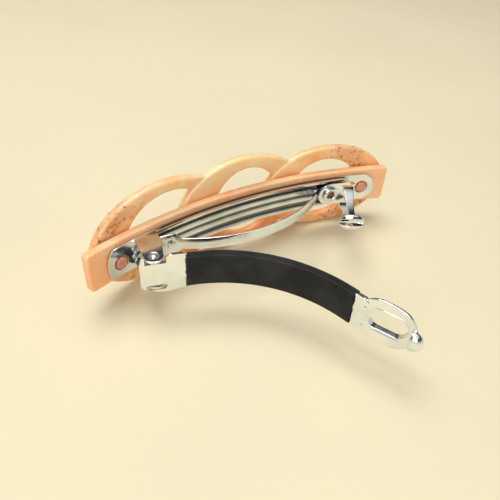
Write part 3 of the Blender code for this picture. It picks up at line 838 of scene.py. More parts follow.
@dataclass
class Ornament:
    """The carved ring plate, the bar behind the clasp and the two studs."""

    ovals: tuple = ((-20.3, 19.2, 12.6, 12.5), (1.6, 17.8, 12.6, 12.5), (25.1, 17.3, 11.2, 12.5))
    windows: tuple = ((-19.2, 11.3, 9.6, 9.4), (2.6, 8.8, 9.3, 9.9), (25.0, 9.0, 7.6, 9.6))
    back: float = 2.3 * MM
    front: float = 4.6 * MM
    rounding: float = 0.75 * MM
    lap_depth: float = 0.45 * MM
    lap_reach: float = 2.6 * MM
    lap_gap: float = 0.04 * MM
    points: int = 128
    bar_half_length: float = 42.2 * MM
    bar_half_height: float = 5.0 * MM
    bar_thickness: float = 2.0 * MM
    bar_corner: float = 1.0 * MM
    stud_spots: tuple = ((-34.4 * MM, -0.45 * MM), (34.9 * MM, 0.0))

    def oval(self, name: str, sizes: Sequence[float], stations: Sequence[tuple[float, float]]
             ) -> bpy.types.Object:
        """Turn an oval solid through its thickness, each half of it with its own height.

        Args:
            name: the name of the new piece.
            sizes: place along the arch, half length, rise and drop, in millimetres.
            stations: (outward, growth) pairs, growth being added to every radius.

        Returns:
            A closed solid.
        """
        centre, half, rise, drop = (value * MM for value in sizes)
        start, growth = stations[0]
        bpy.ops.mesh.primitive_circle_add(vertices=self.points, radius=1.0, fill_type="NGON",
                                          location=(centre, start, 0), rotation=(math.pi / 2, 0, 0))
        piece = bpy.context.active_object
        piece.name = name
        piece.scale = (half + growth, rise + growth, 1.0)
        Bench.settle(piece)
        with Bench.editing(piece):
            Bench.pick_points(piece, lambda co: co.z < -1e-7)
            factor = (drop + growth) / (rise + growth)
            bpy.ops.transform.resize(value=(1, 1, factor), center_override=(centre, start, 0))
            bpy.ops.mesh.select_all(action="SELECT")
            for outward, wider in stations[1:]:
                bpy.ops.mesh.extrude_region_move(
                    TRANSFORM_OT_translate={"value": (0, outward - start, 0)})
                middle = (centre, outward, 0)
                along = (half + wider) / (half + growth)
                bpy.ops.transform.resize(value=(along, 1, 1), center_override=middle)
                level = outward
                for sign, tall in ((1, rise), (-1, drop)):
                    Bench.pick_points(piece, lambda co: co.z * sign > 1e-7
                                      and abs(co.y - level) < 1e-7)
                    factor = (tall + wider) / (tall + growth)
                    bpy.ops.transform.resize(value=(1, 1, factor), center_override=middle)
                Bench.pick_points(piece, lambda co: abs(co.y - level) < 1e-7)
                start, growth = outward, wider
            bpy.ops.mesh.select_all(action="SELECT")
            bpy.ops.mesh.normals_make_consistent(inside=False)
        return piece

    def quarter(self, steps: int = 4) -> list[tuple[float, float]]:
        """Depth and growth along a quarter round, as shares of its radius, from rim to side."""
        turns = [math.pi / 2 * step / steps for step in range(steps + 1)]
        return [(1 - math.cos(turn), math.sin(turn) - 1) for turn in turns]

    def link(self, index: int, grow: float = 0.0) -> bpy.types.Object:
        """One oval link with rounded outer edges.

        Args:
            index: which oval.
            grow: how much larger than its size it is made.

        Returns:
            A closed solid.
        """
        curve = [(depth * self.rounding, growth * self.rounding + grow) for depth, growth in self.quarter()]
        stations = [(self.back + depth, growth) for depth, growth in curve]
        stations += [(self.front - depth, growth) for depth, growth in reversed(curve)]
        return self.oval(f"link_{index}", self.ovals[index], stations)

    def window(self, index: int) -> bpy.types.Object:
        """Cutter for one window, flared at both faces so that the window's edges come out round.

        Args:
            index: which window.

        Returns:
            A closed solid.
        """
        curve = [(depth * self.rounding, -growth * self.rounding) for depth, growth in self.quarter()[1:]]
        beyond = (-0.12 * self.rounding, 1.5 * self.rounding)
        stations = [(self.back + depth, growth) for depth, growth in (beyond, *curve)]
        stations += [(self.front - depth, growth) for depth, growth in (*reversed(curve), beyond)]
        return self.oval(f"window_{index}", self.windows[index], stations)

    def lap(self, index: int, front: bool) -> bpy.types.Object:
        """Cutter that lets the link before this one dip under its edge.

        Args:
            index: which oval lies on top.
            front: whether the clasp side is cut, or the hair side.

        Returns:
            A closed solid.
        """
        face, way = (self.front, 1) if front else (self.back, -1)
        stations = [(face - way * self.lap_depth, 0.2 * MM), (face - way * self.lap_depth * 0.55, 1.0 * MM),
                    (face, self.lap_reach), (face + way * MM, self.lap_reach + 0.4 * MM)]
        return self.oval(f"lap_{index}", self.ovals[index], stations)

    def rings(self, finishes: Finishes) -> bpy.types.Object:
        """Carve the three linked ovals.

        Args:
            finishes: the barrette's finishes.

        Returns:
            The finished piece.
        """
        plate = self.link(0)
        for index in (1, 2):
            Bench.press(plate, self.lap(index, False), Action.CUT)
            Bench.press(plate, self.lap(index, True), Action.CUT)
            Bench.press(plate, self.link(index), Action.ADD)
        for index in range(3):
            window = self.window(index)
            if index < 2:
                Bench.press(window, self.link(index + 1, self.lap_gap), Action.CUT)
            Bench.press(plate, window, Action.CUT)
        with Bench.editing(plate):
            bpy.ops.mesh.select_all(action="SELECT")
            bpy.ops.mesh.bisect(plane_co=(0, 0, -ARCH.height), plane_no=(0, 0, 1), use_fill=True,
                                clear_inner=True)
            Bench.pick_points(plate, lambda co: co.z < -ARCH.height)
            bpy.ops.transform.resize(value=(1, 1, 0), center_override=(0, 0, -ARCH.height))
        Bench.arch(plate)
        Bench.polish(plate, 40.0)
        return Bench.hand_over(plate, "acetate_rings", Body.BASE, finishes.ornament, "acetate",
                               "ring_plate")

    def bar(self, finishes: Finishes) -> bpy.types.Object:
        """Saw and polish the bar.

        Args:
            finishes: the barrette's finishes.

        Returns:
            The finished piece.
        """
        bpy.ops.mesh.primitive_cube_add(size=2.0, location=(0, self.bar_thickness / 2, 0))
        bar = bpy.context.active_object
        bar.scale = (self.bar_half_length, self.bar_thickness / 2, self.bar_half_height)
        Bench.settle(bar)
        with Bench.editing(bar, "EDGE"):
            Bench.pick_edges(bar, lambda middle, way: abs(way.y) > 0.9)
            bpy.ops.mesh.bevel(offset=self.bar_corner, segments=8, affect="EDGES")
            Bench.pick_edges(bar, lambda middle, way: abs(way.y) < 0.1
                             and min(middle.y, self.bar_thickness - middle.y) < 1e-6)
            bpy.ops.mesh.bevel(offset=0.38 * MM, segments=5, affect="EDGES", clamp_overlap=True)
        Bench.arch(bar)
        Bench.polish(bar)
        return Bench.hand_over(bar, "acetate_bar", Body.BASE, finishes.bar, "acetate", "back_bar")

    def stud(self, finishes: Finishes, name: str, along: float, level: float) -> bpy.types.Object:
        """One stud, swollen on the clasp side with a shallow dimple.

        Args:
            finishes: the barrette's finishes.
            name: the stud's name.
            along: its place along the arch.
            level: its height above the middle line.

        Returns:
            The finished piece.
        """
        piece = Bench.rod(name, Vector((0, 0.25 * MM, 0)), 1.3 * MM, 1.5 * MM)
        with Bench.editing(piece, "FACE"):
            Bench.pick_faces(piece, lambda middle, way: way.y < -0.9)
            for back, factor in ((0.2, 1.11), (0.25, 1.0), (0.14, 0.95), (0.1, 0.85), (0.06, 0.7),
                                 (0.0, 0.6), (-0.12, 0.5)):
                bpy.ops.mesh.extrude_region_move(TRANSFORM_OT_translate={"value": (0, -back * MM, 0)})
                bpy.ops.transform.resize(value=(factor, 1, factor))
        Bench.turn(piece, "Z", -along / ARCH.radius)
        Bench.shift(piece, ARCH.place(along, 0.0, level))
        Bench.polish(piece)
        return Bench.hand_over(piece, name + "_head", Body.BASE, finishes.stud, "acetate", name)

    def build(self, finishes: Finishes) -> None:
        """Make the ornament.

        Args:
            finishes: the barrette's finishes.
        """
        self.rings(finishes)
        self.bar(finishes)
        for name, (along, level) in zip(("stake_left", "stake_right"), self.stud_spots):
            self.stud(finishes, name, along, level)


@dataclass
class Hinge:
    """Where the arm turns, and the sizes of its ears and nibs."""

    x: float = -30.14645 * MM
    y: float = -15.0389 * MM
    ear_inner: float = 3.3 * MM
    ear_thickness: float = 0.6 * MM
    ear_tip: float = 2.1 * MM
    hole: float = 1.15 * MM
    nib: float = 0.85 * MM

    def ear(self, side: Side) -> bpy.types.Object:
        """One upright ear, its tip round about the hinge's axis, with a hole through it.

        Args:
            side: which of the two.

        Returns:
            A closed solid in its place.
        """
        left = ARCH.place(-30.6 * MM, -0.35 * MM)
        right = ARCH.place(-25.0 * MM, -0.35 * MM)
        outline = [(left.x, left.y), (left.x - 0.1 * MM, left.y - 2.2 * MM)]
        for step in range(13):
            turn = math.radians(170 + 15 * step)
            outline.append((self.x + self.ear_tip * math.cos(turn), self.y + self.ear_tip * math.sin(turn)))
        outline += [(right.x - 0.1 * MM, right.y - 4.4 * MM), (right.x, right.y)]
        inner, outer = sorted((side.value * self.ear_inner,
                               side.value * (self.ear_inner + self.ear_thickness)))
        blade = Bench.sheet("ear", [(x / MM, y / MM) for x, y in outline], ARCH.height + inner,
                            ARCH.height + outer, upright=True)
        hole = Bench.rod("hole", Vector((self.x, self.y, ARCH.height + inner)), self.hole, 3 * MM, "Z")
        Bench.press(blade, hole, Action.CUT)
        Bench.ease(blade, 0.12 * MM, 2, 50)
        return blade

    def nibs(self, finishes: Finishes) -> None:
        """Two domed nibs on the hinge's axis.

        Args:
            finishes: the barrette's finishes.
        """
        for side in Side:
            height = ARCH.height + side.value * 2.9 * MM
            nib = Bench.rod("nib", Vector((self.x, self.y, height)), self.nib, 1.8 * MM, "Z", 32)
            with Bench.editing(nib, "FACE"):
                Bench.pick_faces(nib, lambda middle, way: way.z * side.value > 0.9)
                for rise, factor in ((0.12, 0.93), (0.12, 0.85), (0.09, 0.7), (0.05, 0.5)):
                    bpy.ops.mesh.extrude_region_move(
                        TRANSFORM_OT_translate={"value": (0, 0, side.value * rise * MM)})
                    bpy.ops.transform.resize(value=(factor, factor, 1))
            Bench.polish(nib)
            word = side.name.lower()
            Bench.hand_over(nib, f"hinge_nib_{word}_dome", Body.ARM, finishes.chrome, "chrome",
                            f"hinge_nib_{word}")


@dataclass
class BasePlate:
    """Ribbed channel with two tabs and the hinge's ears, all one pressing."""

    hinge: Hinge
    gap: float = 0.3 * MM
    thick: float = 0.5 * MM
    channel: tuple = (-31.0, 29.5)
    tabs: tuple = (-37.8, 38.6)
    tab_half: float = 3.9
    holes: tuple = ((-34.4, -0.45), (34.9, 0.0))
    hole: float = 1.85
    eyelet: float = 24.9
    ribs: tuple = ((3.6, 0.35), (3.6, 1.5), (3.15, 1.5), (2.85, 0.6), (1.75, 0.55), (1.45, 1.3),
                   (0.72, 1.3), (0.42, 0.62))
    hollow: tuple = ((3.6, 0.0), (1.9, 0.05), (1.35, 0.85), (0.82, 0.85), (0.5, 0.17))

    def trough(self) -> bpy.types.Object:
        """Roll the channel's ribbed section out along X.

        Returns:
            A flat solid along X.
        """
        low, high = (end * MM for end in self.channel)
        section = list(self.ribs) + [(-width, rise) for width, rise in reversed(self.ribs)]
        section += [(-width, rise) for width, rise in self.hollow] + list(reversed(self.hollow))
        points = [Vector((low, -self.gap - rise * MM, width * MM)) for width, rise in section]
        face = Bench.trace("channel", points)
        return Bench.thicken(face, Vector((high - low, 0, 0)))

    def tab(self, end: float, inner: float, lower: float, upper: float) -> bpy.types.Object:
        """One flat end with its stud's hole; lower and upper say how far its corners are cut back.

        Args:
            end: where the tab ends.
            inner: where it starts, inside the channel.
            lower: how far its lower corner is cut back.
            upper: how far its upper corner is cut back.

        Returns:
            A flat solid.
        """
        side = 1 if end > 0 else -1
        half = self.tab_half
        outline = [(inner, -half), (end - side * lower, -half), (end - side * lower * 0.3, -half * 0.75),
                   (end, -half * 0.4), (end, half * 0.2), (end - side * upper * 0.3, half * 0.62),
                   (end - side * upper, half), (inner, half)]
        plate = Bench.sheet("tab", outline, -self.gap - self.thick, -self.gap - 0.04 * MM, 0.35 * MM)
        along, level = self.holes[0] if side < 0 else self.holes[1]
        rod = Bench.rod("hole", Vector((along * MM, 0, level * MM)), self.hole * MM, 6 * MM)
        Bench.press(plate, rod, Action.CUT)
        return Bench.ease(plate, 0.09 * MM, 2)

    def build(self, finishes: Finishes) -> None:
        """Make the base plate.

        Args:
            finishes: the barrette's finishes.
        """
        plate = self.trough()
        low, high = self.channel
        Bench.press(plate, self.tab(self.tabs[0], low + 1.2, 0.7, 1.8), Action.ADD)
        Bench.press(plate, self.tab(self.tabs[1], high - 1.2, 3.0, 3.0), Action.ADD)
        rod = Bench.rod("hole", Vector((self.eyelet * MM, -2 * MM, 0)), 1.75 * MM, 6 * MM)
        Bench.press(plate, rod, Action.CUT)
        Bench.ease(plate, 0.1 * MM, 2, 25)
        Bench.arch(plate)
        for side in Side:
            Bench.press(plate, self.hinge.ear(side), Action.ADD)
        Bench.polish(plate, 35.0)
        Bench.hand_over(plate, "base_plate_pressing", Body.BASE, finishes.pressed, "nickel_steel",
                        "base_plate")


@dataclass
class Arm:
    """The lever: hinge plate with its lugs, strip, collar and dished thumb loop, and the black sleeve."""

    hinge: Hinge
    start: tuple = (-33.18645 * MM, -15.7589 * MM)
    heading: float = math.radians(-14.2)
    bow: tuple = (9.3 * MM, 47.4 * MM, math.radians(-64.2))
    crank: tuple = (47.4 * MM, 50.4 * MM, math.radians(13.5))
    thick: float = 0.7 * MM
    strip_half: float = 3.1
    sleeve_ends: tuple = (9.3, 47.3)
    sleeve_half_width: float = 4.65 * MM
    sleeve_half_depth: float = 1.15 * MM
    window_ends: tuple = (50.7, 58.9)
    window_span: tuple = (-2.5, 2.9)
    window_cut: float = 1.5
    rebate: float = 0.35
    lip: float = 0.62
    tip_middle: Vector = Vector((60.4 * MM, -0.8 * MM, -0.3 * MM))
    tip_size: tuple = (2.3 * MM, 1.75 * MM, 2.3 * MM)
    tip_back: float = 59.95 * MM
    grain: float = 0.13 * MM

    def score(self, piece: bpy.types.Object, step: float = 1.3 * MM) -> bpy.types.Object:
        """Cut edges across a flat piece where the arm bends.

        Args:
            piece: a flat piece that lies along X.
            step: distance between the edges.

        Returns:
            The same piece.
        """
        low, high = Bench.span(piece)
        first, last = max(low, self.bow[0]), min(high, self.crank[1])
        return Bench.slice(piece, [first, *Bench.steps(first, last, step), last])

    def lay(self, piece: bpy.types.Object) -> bpy.types.Object:
        """Bend a flat piece that starts at the hinge to the arm's curve and bring it there.

        Args:
            piece: a flat piece that lies along X.

        Returns:
            The same piece.
        """
        if Bench.span(piece)[1] > self.crank[0]:
            Bench.bend(piece, *self.crank, self.crank[0])
        Bench.bend(piece, *self.bow, self.bow[0])
        Bench.turn(piece, "Z", self.heading)
        return Bench.shift(piece, Vector((*self.start, ARCH.height)))

    def hinge_plate(self) -> bpy.types.Object:
        """The bright plate at the hinge, with its closed cut-out and its scalloped end.

        Returns:
            A flat solid along X.
        """
        wave = [(9.25 + 0.32 * math.sin(index * 1.9 + 0.6), 4.75 - index * 0.78) for index in range(13)]
        outline = [(-0.6, -2.9), (0.3, -4.0), (3.0, -4.9), (5.2, -5.2), (7.0, -4.95), (8.9, -4.7)]
        outline += list(reversed(wave))
        outline += [(8.2, 4.9), (6.2, 4.95), (5.1, 4.6), (5.1, 2.95), (0.55, 2.95), (0.55, 5.0), (0.0, 5.1),
                    (-0.6, 2.95)]
        half = self.thick / 2
        plate = Bench.sheet("hinge_plate", outline, -half, half, 0.18 * MM)
        cut = Bench.sheet("cut", [(0.5, -4.25), (5.0, -4.25), (5.0, -2.9), (0.5, -2.9)], -2 * MM, 2 * MM,
                          0.3 * MM)
        Bench.press(plate, cut, Action.CUT)
        return Bench.ease(plate, 0.2 * MM, 3)

    def strip(self) -> bpy.types.Object:
        """The strip inside the sleeve, with the serrated collar beyond it.

        Returns:
            A flat solid along X.
        """
        half = self.thick / 2
        wide = self.strip_half
        teeth = [(47.25 + (0.28 if index % 2 else 0.0), -4.2 + index * 0.84) for index in range(11)]
        strip = Bench.sheet("strip", [(8.6, -wide), (49.0, -wide), (49.0, wide), (8.6, wide)], -half * 0.8,
                            half * 0.8)
        collar = Bench.sheet("collar", [(50.4, -3.5), (49.6, -4.2), *teeth, (49.6, 4.2), (50.4, 3.5)],
                             -half * 1.7, half * 1.2, 0.12 * MM)
        for side in Side:
            dent = Bench.rod("dent", Vector((49.75 * MM, -half * 1.7, side.value * 2.5 * MM)), 0.42 * MM,
                             0.7 * MM, sides=20)
            Bench.press(collar, dent, Action.CUT)
        Bench.ease(collar, 0.14 * MM, 2)
        Bench.press(strip, collar, Action.ADD)
        return self.score(strip)

    def window(self, wider: float = 0.0) -> Outline:
        """The loop's window with its corners cut off, or the same made wider all round.

        Args:
            wider: how far every corner goes out, in millimetres.

        Returns:
            Its corners in order.
        """
        first, last = self.window_ends
        low, high = self.window_span
        cut = self.window_cut
        corners = ((first, low + cut), (first + cut, low), (last - cut, low), (last, low + cut),
                   (last, high - cut), (last - cut, high), (first + cut, high), (first, high - cut))
        middle = (first + last) / 2
        return [(x + math.copysign(wider, x - middle), z + math.copysign(wider, z)) for x, z in corners]

    def loop(self) -> bpy.types.Object:
        """The dished loop and the domed tip that the thumb presses, grown together and smoothed.

        Returns:
            A flat solid along X.
        """
        outer = [(49.2, 3.4), (50.2, 4.6), (51.5, 5.3), (53.0, 5.6), (56.0, 5.45), (57.6, 5.1), (59.0, 4.4),
                 (60.0, 3.1), (60.9, 1.6)]
        outer += [(along, -half) for along, half in reversed(outer)]
        half = self.thick / 2
        plate = Bench.sheet("loop", outer, -half, half, 0.6 * MM)
        skirt = Bench.sheet("skirt", self.window(self.lip), 0.0, 1.5 * MM, 0.7 * MM)
        Bench.press(plate, skirt, Action.ADD)
        bpy.ops.mesh.primitive_uv_sphere_add(segments=40, ring_count=24, radius=1.0,
                                             location=self.tip_middle)
        tip = bpy.context.active_object
        tip.scale = self.tip_size
        Bench.settle(tip)
        with Bench.editing(tip):
            Bench.pick_points(tip, lambda co: co.y > self.tip_middle.y)
            bpy.ops.transform.resize(value=(1, 0.8, 1), center_override=self.tip_middle)
            bpy.ops.mesh.select_all(action="SELECT")
            bpy.ops.mesh.bisect(plane_co=(self.tip_back, 0, 0), plane_no=(1, 0, 0), use_fill=True,
                                clear_inner=True)
        Bench.press(plate, tip, Action.ADD)
        face = -half - 0.05 * MM
        for name, wider, low, high in (("window", 0.0, -3 * MM, 3 * MM),
                                       ("rebate", self.rebate, face, face + 0.25 * MM)):
            Bench.press(plate, Bench.sheet(name, self.window(wider), low, high, 0.6 * MM), Action.CUT)
        Bench.apply(plate, "REMESH", mode="VOXEL", voxel_size=self.grain)
        return Bench.apply(plate, "SMOOTH", factor=0.5, iterations=7)

    def lug(self, side: Side) -> bpy.types.Object:
        """Flange that stands inside one ear, round about the hinge's axis.

        Args:
            side: which of the two.

        Returns:
            A closed solid in its place.
        """
        inner, outer = sorted((side.value * 2.3 * MM, side.value * 2.9 * MM))
        ahead = Vector((math.cos(self.heading), math.sin(self.heading)))
        away = Vector((math.sin(self.heading), -math.cos(self.heading)))
        first = Vector(self.start) + ahead * 1.1 * MM + away * 0.1 * MM
        last = Vector(self.start) + ahead * 5.0 * MM + away * 0.1 * MM
        outline = [tuple(first / MM)]
        for step in range(11):
            turn = math.radians(195 - 21 * step)
            outline.append(((self.hinge.x + 1.85 * MM * math.cos(turn)) / MM,
                            (self.hinge.y + 1.85 * MM * math.sin(turn)) / MM))
        outline.append(tuple(last / MM))
        blade = Bench.sheet("lug", outline, ARCH.height + inner, ARCH.height + outer, upright=True)
        return Bench.ease(blade, 0.1 * MM, 2, 50)

    def sleeve(self, finishes: Finishes) -> None:
        """Draw the sleeve over the strip, its cut ends slightly uneven.

        Args:
            finishes: the barrette's finishes.
        """
        low, high = (end * MM for end in self.sleeve_ends)
        bpy.ops.mesh.primitive_cylinder_add(vertices=64, radius=1.0, depth=high - low,
                                            location=((low + high) / 2, 0, 0), rotation=(0, math.pi / 2, 0))
        tube = bpy.context.active_object
        tube.scale = (self.sleeve_half_width, self.sleeve_half_depth, 1.0)
        Bench.settle(tube)
        with Bench.editing(tube):
            for side in Side:
                Bench.pick_points(tube, lambda co: co.y * side.value > 0.5 * self.sleeve_half_depth)
                bpy.ops.transform.resize(value=(1, 0.12, 1), center_override=(
                    0, side.value * self.sleeve_half_depth * 0.97, 0))
            for end, way in ((low, -1), (high, 1)):
                for index in range(9):
                    level = (index - 4) * self.sleeve_half_width / 4.5
                    Bench.pick_points(tube, lambda co: abs(co.x - end) < 0.45 * MM
                                      and abs(co.z - level) < self.sleeve_half_width / 9)
                    bpy.ops.transform.translate(
                        value=(way * 0.22 * MM * math.sin(index * 2.3 + 1.0), 0, 0))
            bpy.ops.mesh.select_all(action="SELECT")
            bpy.ops.mesh.normals_make_consistent(inside=False)
        Bench.ease(tube, 0.2 * MM, 3, 60)
        self.lay(self.score(tube))
        Bench.polish(tube, 50.0)
        Bench.hand_over(tube, "grip_sleeve", Body.ARM, finishes.sleeve, "black_sleeve", "arm_sleeve")

    def build(self, finishes: Finishes) -> None:
        """Make the lever and its sleeve.

        Args:
            finishes: the barrette's finishes.
        """
        lever = self.lay(Bench.join(self.hinge_plate(), self.strip(), self.loop()))
        lever = Bench.join(lever, self.lug(Side.UPPER), self.lug(Side.LOWER))
        Bench.polish(lever, 42.0)
        Bench.hand_over(lever, "lever_pressing", Body.ARM, finishes.nickel, "nickel_steel", "arm")
        self.sleeve(finishes)


@dataclass
class TensionBar:
    """Bowed spring strip with a wide end plate that has a small hook cut in it."""

    radius: float = 37.4 * MM
    apex: tuple = (-2.64645 * MM, -14.3889 * MM)
    left: float = -24.0
    bend: float = -19.3
    right: float = 21.3
    half: float = 1.5
    plate_half: float = 2.9
    thick: float = 0.4 * MM
    pinch: float = math.radians(-25.4)

    def build(self, finishes: Finishes) -> None:
        """Make the strip, hook its end plate and bow it. The closing arm presses the bow flat.

        Args:
            finishes: the barrette's finishes.
        """
        start = self.radius / MM * math.asin(self.bend * MM / self.radius)
        end = self.radius / MM * math.asin(self.right * MM / self.radius)
        far = start - (self.bend - self.left)
        wide, slim = self.plate_half, self.half
        outline = [(far, -wide * 0.8), (far + 0.6, -wide), (start - 0.6, -wide), (start, -wide * 0.75),
                   (start + 0.9, -slim), (end - 1.0, -slim), (end, -slim * 0.6), (end, slim * 0.6),
                   (end - 1.0, slim), (start + 0.9, slim), (start, wide * 0.75), (start - 0.6, wide),
                   (far + 0.6, wide), (far, wide * 0.8)]
        strip = Bench.sheet("strip", outline, -self.thick / 2, self.thick / 2, 0.35 * MM)
        Bench.press(strip, self.hook((far + start) / 2 + 0.7), Action.CUT)
        Bench.ease(strip, 0.1 * MM, 2)
        low, high = start * MM, end * MM
        Bench.slice(strip, [low - 0.6 * MM, low, *Bench.steps(low, high, 1.3 * MM)])
        Bench.bend(strip, low - 0.6 * MM, low, self.pinch, low)
        Bench.bend(strip, low, high, (high - low) / self.radius, 0.0)
        Bench.shift(strip, Vector((*self.apex, ARCH.height)))
        Bench.polish(strip, weighted=False)
        Bench.hand_over(strip, "tension_spring", Body.BASE, finishes.spring, "spring_steel", "tension_bar")
        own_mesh(strip)

    def hook(self, along: float) -> bpy.types.Object:
        """Cutter for the hook-shaped slot: a short bar spun three quarters of a turn.

        Args:
            along: where the slot's middle is, in millimetres.

        Returns:
            A thin cutter.
        """
        centre = Vector((along * MM, 0, 0.4 * MM))
        bpy.ops.mesh.primitive_plane_add(size=1.0, location=centre + Vector((0.85 * MM, 0, 0)))
        bar = bpy.context.active_object
        bar.scale = (0.32 * MM, 2.0 * MM, 1.0)
        Bench.settle(bar)
        with Bench.editing(bar, "FACE"):
            bpy.ops.mesh.select_all(action="SELECT")
            bpy.ops.mesh.spin(steps=18, angle=math.radians(230), center=centre, axis=(0, 1, 0))
            bpy.ops.mesh.select_all(action="SELECT")
            bpy.ops.mesh.remove_doubles(threshold=0.001 * MM)
            bpy.ops.mesh.normals_make_consistent(inside=False)
        return bar


@dataclass
class Catch:
    """Riveted foot with its eyelet, and two prongs that carry a split oval head."""

    foot_ends: tuple = (21.4, 31.4)
    foot_half: float = 3.1
    lift: float = 2.15 * MM
    thick: float = 0.5 * MM
    eyelet: float = 24.9 * MM
    root: tuple = (26.25355 * MM, -10.5389 * MM)
    head: tuple = (19.55355 * MM, -21.0389 * MM)
    head_half_length: float = 3.15 * MM
    head_half_height: float = 2.2 * MM
    split: float = 0.5 * MM

    def foot(self, finishes: Finishes) -> None:
        """The foot, round about its eyelet and turned up at its far end.

        Args:
            finishes: the barrette's finishes.
        """
        low, high = self.foot_ends
        half = self.foot_half
        middle = self.eyelet / MM
        outline = [(middle + 3.5 * math.cos(math.radians(turn)), half * math.sin(math.radians(turn)))
                   for turn in range(90, 271, 15)]
        outline += [(high - 0.4, -half), (high, -half + 0.5), (high, half - 0.5), (high - 0.4, half)]
        plate = Bench.sheet("foot", outline, -self.lift - self.thick, -self.lift, 0.1 * MM)
        for side in Side:
            post = Bench.sheet("post", [(30.1, side.value * half), (high, side.value * half),
                                        (high, side.value * (half - 0.5)), (30.1, side.value * (half - 0.5))],
                               -self.lift - 1.7 * MM, -self.lift - self.thick / 2)
            Bench.press(plate, post, Action.ADD)
        Bench.press(plate, Bench.rod("hole", Vector((self.eyelet, -self.lift, 0)), 1.6 * MM, 4 * MM),
                    Action.CUT)
        Bench.ease(plate, 0.12 * MM, 3)
        Bench.arch(plate)
        Bench.polish(plate)
        Bench.hand_over(plate, "catch_foot_plate", Body.BASE, finishes.nickel, "nickel_steel", "catch_foot")

    def rivet(self, finishes: Finishes) -> None:
        """The hollow rivet: a short tube whose end is rolled over in a ring.

        Args:
            finishes: the barrette's finishes.
        """
        top = -self.lift - self.thick - 0.3 * MM
        bpy.ops.mesh.primitive_torus_add(major_segments=48, minor_segments=16, major_radius=1.65 * MM,
                                         minor_radius=0.55 * MM, location=(0, top, 0),
                                         rotation=(math.pi / 2, 0, 0))
        ring = bpy.context.active_object
        Bench.settle(ring)
        with Bench.editing(ring):
            Bench.pick_points(ring, lambda co: co.y < top)
            bpy.ops.transform.resize(value=(1, 0.85, 1), center_override=(0, top, 0))
            Bench.pick_points(ring, lambda co: co.y > top)
            bpy.ops.transform.resize(value=(0.88, 0.1, 0.88), center_override=(0, top, 0))
        tube = Bench.rod("tube", Vector((0, (top - 0.4 * MM) / 2, 0)), 1.45 * MM, -top - 0.4 * MM)
        bore = Bench.rod("bore", Vector((0, top / 2, 0)), 1.12 * MM, 8 * MM)
        Bench.press(tube, bore, Action.CUT)
        Bench.press(ring, tube, Action.ADD)
        Bench.turn(ring, "Z", -self.eyelet / ARCH.radius)
        Bench.shift(ring, ARCH.place(self.eyelet))
        Bench.polish(ring)
        Bench.hand_over(ring, "catch_rivet", Body.BASE, finishes.chrome, "chrome", "catch_eyelet")

    def prong(self, finishes: Finishes, side: Side, body: Body) -> None:
        """One sprung leg, drawn out station by station, with its half of the head.

        Args:
            finishes: the barrette's finishes.
            side: which leg.
            body: the body that it moves with.
        """
        root, head = Vector((*self.root, 0)), Vector((*self.head, 0))
        reach = (head - root).length
        lean = math.atan2(head.y - root.y, head.x - root.x) + math.pi / 2
        stations = ((0.0, 2.75, 1.35, 0.5), (0.1, 2.74, 1.3, 0.5), (0.22, 2.5, 1.12, 0.5),
                    (0.4, 1.95, 0.95, 0.52), (0.58, 1.45, 0.82, 0.55), (0.78, 1.08, 0.74, 0.6),
                    (1.0, 0.92, 0.74, 0.6))
        share, height, width, thick = stations[0]
        bpy.ops.mesh.primitive_plane_add(size=1.0, location=(0, 0, side.value * height * MM),
                                         rotation=(math.pi / 2, 0, 0))
        leg = bpy.context.active_object
        leg.scale = (width * 2.2 * MM, thick * MM, 1.0)
        Bench.settle(leg)
        with Bench.editing(leg, "FACE"):
            bpy.ops.mesh.select_all(action="SELECT")
            for further, level, wide, deep in stations[1:]:
                step = Vector((0, -(further - share) * reach, side.value * (level - height) * MM))
                bpy.ops.mesh.extrude_region_move(TRANSFORM_OT_translate={"value": step})
                bpy.ops.transform.resize(value=(wide / width, 1, deep / thick))
                share, height, width, thick = further, level, wide, deep
            bpy.ops.mesh.select_all(action="SELECT")
            bpy.ops.mesh.normals_make_consistent(inside=False)
        Bench.apply(leg, "BEVEL", width=0.12 * MM, segments=2, limit_method="ANGLE",
                    angle_limit=math.radians(50))
        Bench.apply(leg, "SUBSURF", levels=2, render_levels=2)
        bpy.ops.mesh.primitive_uv_sphere_add(segments=56, ring_count=36, radius=1.0,
                                             location=(0, -reach, 0), rotation=(math.pi / 2, 0, 0))
        cap = bpy.context.active_object
        cap.scale = (self.head_half_length, self.head_half_height, 1.05 * MM)
        Bench.settle(cap)
        with Bench.editing(cap):
            Bench.pick_points(cap, lambda co: co.y > -reach)
            bpy.ops.transform.resize(value=(1, 0.66, 1), center_override=(0, -reach, 0))
            bpy.ops.mesh.select_all(action="SELECT")
            bpy.ops.mesh.bisect(plane_co=(0, 0, side.value * self.split), plane_no=(0, 0, side.value),
                                use_fill=True, clear_inner=True)
        Bench.ease(cap, 0.12 * MM, 3, 60)
        Bench.join(leg, cap)
        Bench.turn(leg, "Z", lean)
        Bench.shift(leg, Vector((root.x, root.y, ARCH.height)))
        Bench.polish(leg, 50.0)
        word = side.name.lower()
        Bench.hand_over(leg, f"catch_leg_{word}", body, finishes.chrome, "chrome", f"catch_prong_{word}")

    def build(self, finishes: Finishes) -> None:
        """Make the catch.

        Args:
            finishes: the barrette's finishes.
        """
        self.foot(finishes)
        self.rivet(finishes)
        self.prong(finishes, Side.UPPER, Body.UPPER_PRONG)
        self.prong(finishes, Side.LOWER, Body.LOWER_PRONG)


